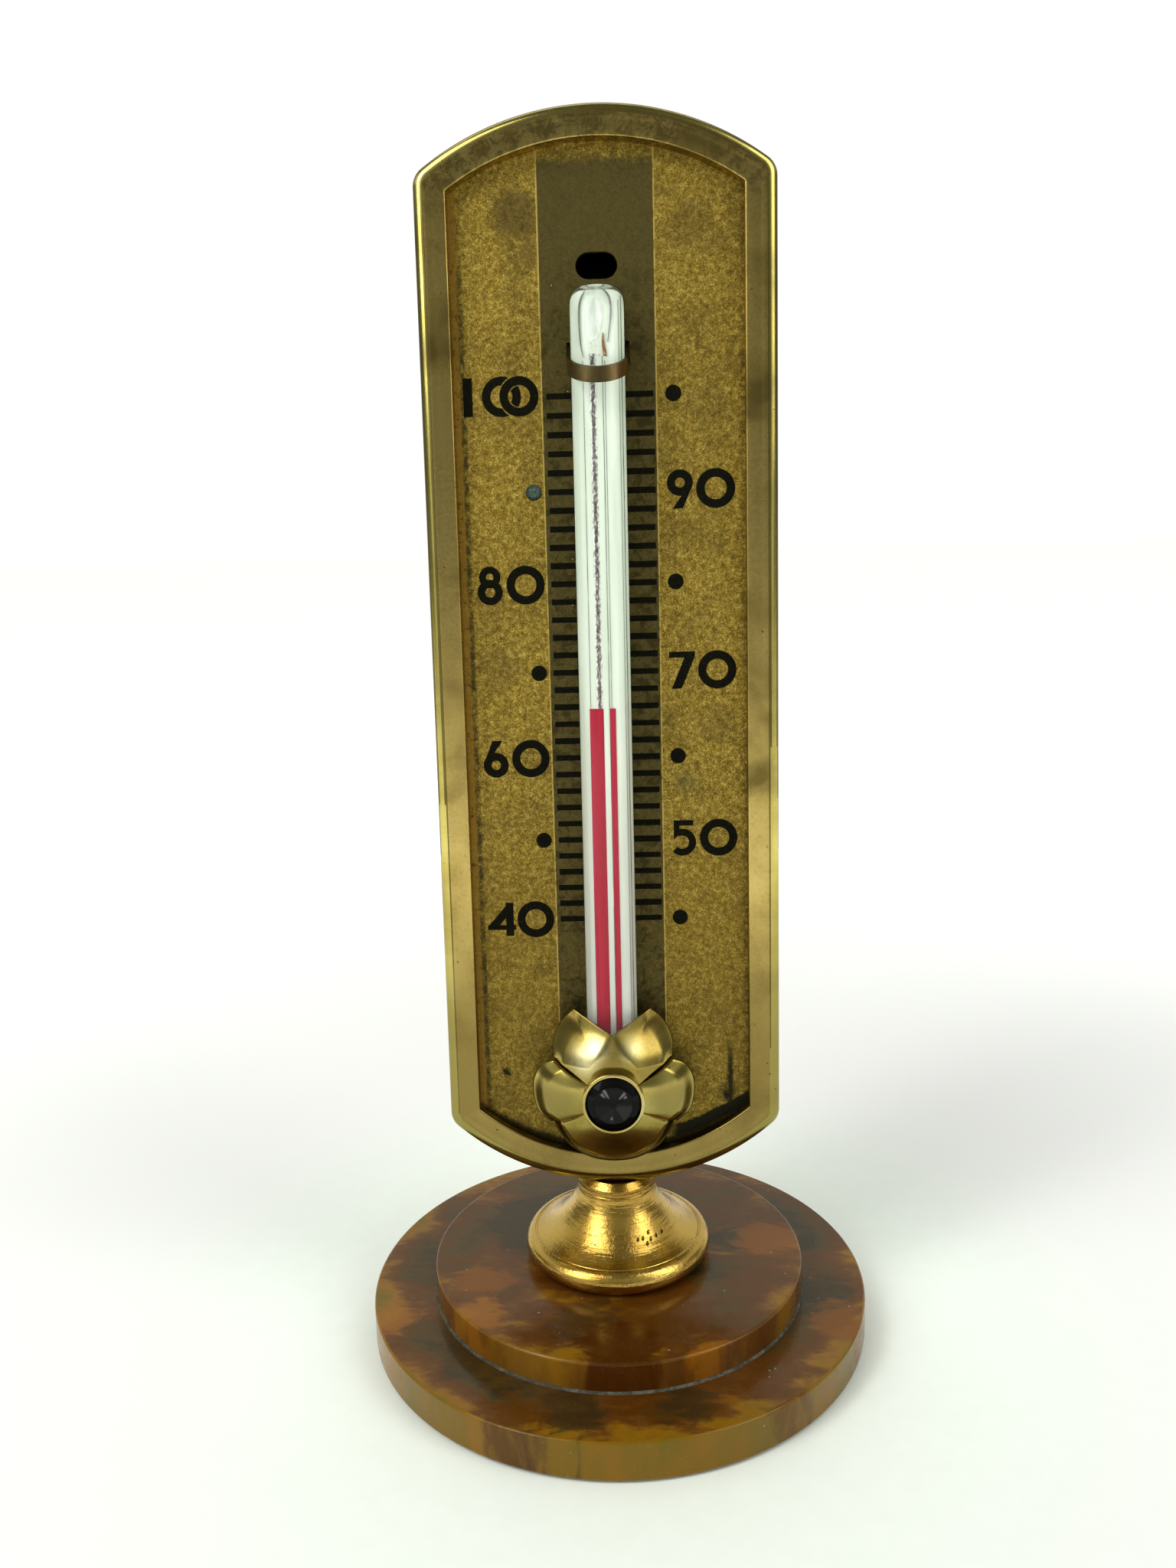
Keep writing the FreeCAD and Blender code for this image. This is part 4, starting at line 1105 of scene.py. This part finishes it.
# the tops of the frame's bead and border are mottled dark above blotch as painted dark reflection
frame_brass = brass("frame_brass", (0.42, 0.345, 0.085), (0.54, 0.47, 0.14), (0.25, 0.21, 0.06),
                    rough=(0.14, 0.22), grain=(1, 1, 0.3), grain_depth=0.003, speckle=0.2, shade_above=118.0,
                    dark_foot=0.7)
border_brass = brass("border_brass", (0.42, 0.310, 0.090), (0.52, 0.40, 0.13), (0.17, 0.124, 0.032),
                     rough=(0.20, 0.32), grain=(1, 1, 0.3), grain_depth=0.003, speckle=0.2, shade_above=110.0,
                     dark_foot=0.7)
# inside its walls the tray is painted black as shade
back_brass = brass("back_brass", (0.28, 0.20, 0.06), (0.36, 0.27, 0.09), (0.19, 0.13, 0.036),
                   grain=(1, 1, 0.1), inside=3.1)
# x and height of the small pits on the front of the bell
BELL_PITS = ((3.15, 11.5), (2.6, 11.2), (3.95, 11.1), (3.05, 10.8), (2.1, 11.2), (3.4, 11.0), (4.5, 11.15))
# the pedestal's neck, above blotch, is mottled dark as painted shade
turned_brass = brass("turned_brass", (0.54, 0.345, 0.075), (0.64, 0.43, 0.11), (0.38, 0.22, 0.04),
                     rough=(0.12, 0.20), grain=(0.02, 0.02, 0.36), grain_depth=0.08, pits=0.08,
                     shade_above=14.5, marks=BELL_PITS, on_panel=False)
# painted light on the flower: highlights, dark reflections, shade on the middle facet and a satin sheen on
# the side petals
PAINTED_HIGHLIGHT = (1.0, 0.90, 0.50)
PAINTED_DARK_REFLECTION = (0.22, 0.14, 0.03)
PAINTED_SATIN_SHEEN = (0.24, 0.195, 0.055)
FACET_PAINTED_SHADE = (0.12, 0.095, 0.025)
# x, z, radius, colour and strength of each patch of painted light on the petals
FLOWER_PAINTED_LIGHT = (
    (-2.7, 30.2, 1.0, PAINTED_HIGHLIGHT, 0.7), (-1.5, 31.5, 0.6, PAINTED_HIGHLIGHT, 0.8), (0.1, 30.7, 0.7, FACET_PAINTED_SHADE, 0.9),
    (1.9, 31.4, 0.6, PAINTED_HIGHLIGHT, 0.5), (-3.8, 33.2, 1.0, PAINTED_DARK_REFLECTION, 0.6), (3.6, 33.0, 1.4, PAINTED_DARK_REFLECTION, 0.7),
    (3.6, 30.2, 0.9, PAINTED_DARK_REFLECTION, 0.5), (-5.6, 26.4, 2.2, PAINTED_SATIN_SHEEN, 0.8), (5.6, 26.4, 2.2, PAINTED_SATIN_SHEEN, 0.8))
flower_brass = brass("flower_brass", (0.33, 0.255, 0.060), (0.50, 0.42, 0.125), (0.17, 0.115, 0.024),
                     rough=(0.15, 0.26), grain=(1, 1, 0.35), grain_depth=0.003, painted_light_patches=FLOWER_PAINTED_LIGHT)
collar_brass = brass("collar_brass", (0.45, 0.36, 0.11), (0.6, 0.5, 0.2), (0.2, 0.15, 0.04),
                     rough=(0.16, 0.28))
clip_brass = brass("clip_brass", (0.105, 0.078, 0.030), (0.16, 0.100, 0.040), (0.05, 0.036, 0.013),
                   rough=(0.3, 0.5), grain=(0.3, 0.3, 1))
steel = steel_finish()
ink = ink_finish()
glass = clear_glass()
enamel = enamel_finish()
bore = bore_finish()
grey_line = line_finish()
spirit = spirit_finish()
residue = residue_finish()
silver = highlight_and_fleck_finish()
felt = felt_finish()
black_stone = black_glass()

# plan x and y, radius, colour and strength of the marks that stand out on the two discs
UPPER_PATCHES = (
    (-9.0, 5.0, 5.5, CHARCOAL, 0.9), (11.8, 1.5, 2.6, CHARCOAL, 0.9), (-13.8, -6.0, 2.4, RUST, 0.95),
    (-13.0, -11.2, 2.0, ORANGE_BROWN, 0.7), (15.8, 1.5, 3.0, RUST, 0.9), (13.0, -6.5, 2.5, DARK_RUST, 0.8),
    (4.0, -12.0, 5.0, DARK_RUST, 0.8), (-2.5, -13.5, 3.5, CHARCOAL, 0.55), (0.5, -17.0, 4.0, DARK_RED, 0.9),
    (-5.5, -18.2, 1.3, AMBER, 0.8), (8.5, -17.2, 1.6, ORANGE_BROWN, 0.8))
LOWER_PATCHES = (
    (-4.0, -21.0, 3.0, CHARCOAL, 0.8), (6.0, -20.6, 2.6, CHARCOAL, 0.75), (-14.5, -14.6, 2.2, CHARCOAL, 0.7),
    (20.8, -3.0, 2.2, CHARCOAL, 0.8), (-9.0, -22.2, 2.2, DARK_RUST, 0.9),
    (-22.8, -7.5, 2.6, ORANGE_BROWN, 0.7), (22.0, -9.0, 2.6, RUST, 0.8), (14.5, -18.5, 2.2, DARK_RUST, 0.7),
    (-7.5, -25.0, 1.5, DULL_RED, 0.8))

lower_resin = marbled_resin("marbled_resin", (3.0, 11.0, 0.0), 25.4, LOWER_PATCHES, 0.15)
upper_resin = marbled_resin("marbled_resin_upper", (31.0, 4.0, 6.0), 19.0, UPPER_PATCHES, 0.06)
for name, material in (
        ("base_lower_disc", lower_resin), ("base_upper_disc", upper_resin), ("cement_bead", cement_finish()),
        ("base_washer", steel), ("base_screw", steel), ("pedestal", turned_brass),
        ("dial_plate", dial_brass()), ("back_tray", back_brass), ("frame_screw", steel),
        ("tube_clip", clip_brass), ("stone_collar", collar_brass)):
    dress(name, material)

pieces = {
    "ticks": scale_ticks(), "numbers": scale_numbers(), "glass": glass_front(), "enamel": enamel_back(),
    "bore": bore_line(), "silver": chamber_highlight_and_flecks(), "frame": frame_rim(), "lines": glass_lines(),
    "residue": chamber_residue(), "petals": flower_petals(), "tabs": flower_tabs(),
    "stone": faceted_stone(), "felt": felt_disc(),
    "reservoir": spirit_stripes("spirit_lower_stripes", TUBE_BOTTOM + 1.5, RESERVOIR_TOP),
}
for piece in pieces.values():
    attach(piece, BODY)

slug = spirit_stripes("spirit_top_stripes", COLUMN_TOP, SPIRIT_LEVEL)
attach(slug, LEVEL)
column = spirit_stripes("spirit_column_stripes", RESERVOIR_TOP, COLUMN_TOP)
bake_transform(column)

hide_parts("frame_shell")
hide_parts("glass_tube")
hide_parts("spirit_reservoir")
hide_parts("spirit_column")
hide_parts("spirit_meniscus")
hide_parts("flower_cover")
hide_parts("black_stone")
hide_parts("felt_pad")


# ---- camera, floor and light --------------------------------------------------------------------

CAMERA_PLACE = (2.1397, -120.2627, 81.2024)
CAMERA_YAW = -0.033546        # radians, as are the next two
CAMERA_PITCH = 0.201271       # below level
CAMERA_ROLL = -0.026019


def camera():
    """Camera close in front, looking down a little."""
    toward = Vector((sin(CAMERA_YAW) * cos(CAMERA_PITCH),
                     cos(CAMERA_YAW) * cos(CAMERA_PITCH), -sin(CAMERA_PITCH)))
    level = Vector((cos(CAMERA_YAW), -sin(CAMERA_YAW), 0))
    above = level.cross(toward)
    right = cos(CAMERA_ROLL) * level + sin(CAMERA_ROLL) * above
    up = cos(CAMERA_ROLL) * above - sin(CAMERA_ROLL) * level
    data = bpy.data.cameras.new("camera")
    data.lens = 29.004
    data.sensor_width = 36.0
    data.clip_start = 0.005
    view = bpy.data.objects.new("camera", data)
    view.matrix_world = Matrix.Translation(Vector(CAMERA_PLACE) * MM) @ Matrix(
        (right, up, -toward)).transposed().to_4x4()
    bpy.context.scene.collection.objects.link(view)
    bpy.context.scene.camera = view


FLOOR_HALF = 4000
FLOOR_HEIGHT = -0.02          # a hair under the felt


def floor():
    """Pale floor that brightens into the white background far from the object."""
    paper = Finish("floor")
    length = paper.node("ShaderNodeVectorMath", {"operation": "LENGTH"}, Vector=paper.place)
    distance = length.outputs["Value"]
    far = paper.span(distance, 50, 300, 0.0, 0.6)
    grain = paper.noise(0.4, 3)
    near = paper.ramp(grain, (0.3, (0.90, 0.96, 0.89)), (0.7, (0.92, 0.98, 0.91)))
    tint = paper.mix(paper.span(distance, 30, 65), near, (0.93, 0.93, 0.92))
    material = paper.shade(Base_Color=tint, Roughness=0.9, Emission_Color=(1, 1, 0.98),
                           Emission_Strength=far)
    mesh = bmesh.new()
    grid_faces(mesh, [[Vector((x, y, FLOOR_HEIGHT)) for x in (-FLOOR_HALF, FLOOR_HALF)]
                      for y in (-FLOOR_HALF, FLOOR_HALF)])
    plane = finish_mesh("floor", mesh, material, smooth=False)


LIGHT_TARGET = (0, 0, 60)


def softbox(name, place, size, radiance):
    """Rectangular soft light at a point in millimetres, turned to the object."""
    data = bpy.data.lights.new(name, "AREA")
    data.shape = "RECTANGLE"
    data.size = size[0] * MM
    data.size_y = size[1] * MM
    data.energy = radiance * pi * data.size * data.size_y
    data.color = (1.0, 1.0, 0.97)
    light = bpy.data.objects.new(name, data)
    away = Vector(place) - Vector(LIGHT_TARGET)
    turn = away.to_track_quat("Z", "Y").to_matrix().to_4x4()
    light.matrix_world = Matrix.Translation(Vector(place) * MM) @ turn
    light.visible_camera = False
    bpy.context.scene.collection.objects.link(light)


def studio():
    """White room, darker above, at both sides and in front, where the camera is."""
    world = bpy.data.worlds.new("studio")
    bpy.context.scene.world = world
    world.use_nodes = True
    tree = world.node_tree
    tree.nodes.clear()

    def node(kind, *values, **settings):
        made = tree.nodes.new(kind)
        for key, value in settings.items():
            setattr(made, key, value)
        for socket, value in zip(made.inputs, values):
            if isinstance(value, bpy.types.NodeSocket):
                tree.links.new(value, socket)
            else:
                socket.default_value = value
        return made

    def fade(value, low, high, start, end):
        made = node("ShaderNodeMapRange", value, low, high, start, end, interpolation_type="SMOOTHSTEP")
        return made.outputs["Result"]

    direction = node("ShaderNodeTexCoord").outputs["Generated"]
    toward = node("ShaderNodeVectorMath", direction, (0.1, -0.95, 0.15), operation="DOT_PRODUCT")
    axes = node("ShaderNodeSeparateXYZ", direction)
    sizes = [node("ShaderNodeMath", axes.outputs[axis], operation="ABSOLUTE").outputs[0] for axis in "XZ"]
    sideways = fade(sizes[0], 0.72, 0.92, 0, 1)
    low = fade(sizes[1], 0.20, 0.55, 1, 0)
    side = node("ShaderNodeMath", sideways, low, operation="MULTIPLY").outputs[0]
    at_front = fade(toward.outputs["Value"], 0.66, 0.96, 0.80, 0.26)
    ceiling = fade(axes.outputs["Z"], 0.55, 0.85, 1.0, 0.22)
    upper = node("ShaderNodeMath", at_front, ceiling, operation="MULTIPLY").outputs[0]
    strength = node("ShaderNodeMath", upper, fade(side, 0, 1, 1.0, 0.25), operation="MULTIPLY")
    room = node("ShaderNodeBackground", (0.97, 1.0, 0.95, 1), strength.outputs[0])
    white = node("ShaderNodeBackground", (1, 1, 1, 1), 1.05)
    camera_ray = node("ShaderNodeLightPath").outputs["Is Camera Ray"]
    mixed = node("ShaderNodeMixShader", camera_ray, room.outputs[0], white.outputs[0])
    node("ShaderNodeOutputWorld", mixed.outputs[0])


camera()
floor()
studio()
softbox("left_softbox", (-347, -271, 430), (290, 560), 3.2)
softbox("left_lamp", (-300, -220, 420), (80, 170), 9.0)
softbox("right_softbox", (395, -193, 400), (240, 560), 2.8)
softbox("top_softbox", (-40, 200, 520), (420, 260), 1.4)
bpy.context.scene.view_settings.view_transform = "Standard"
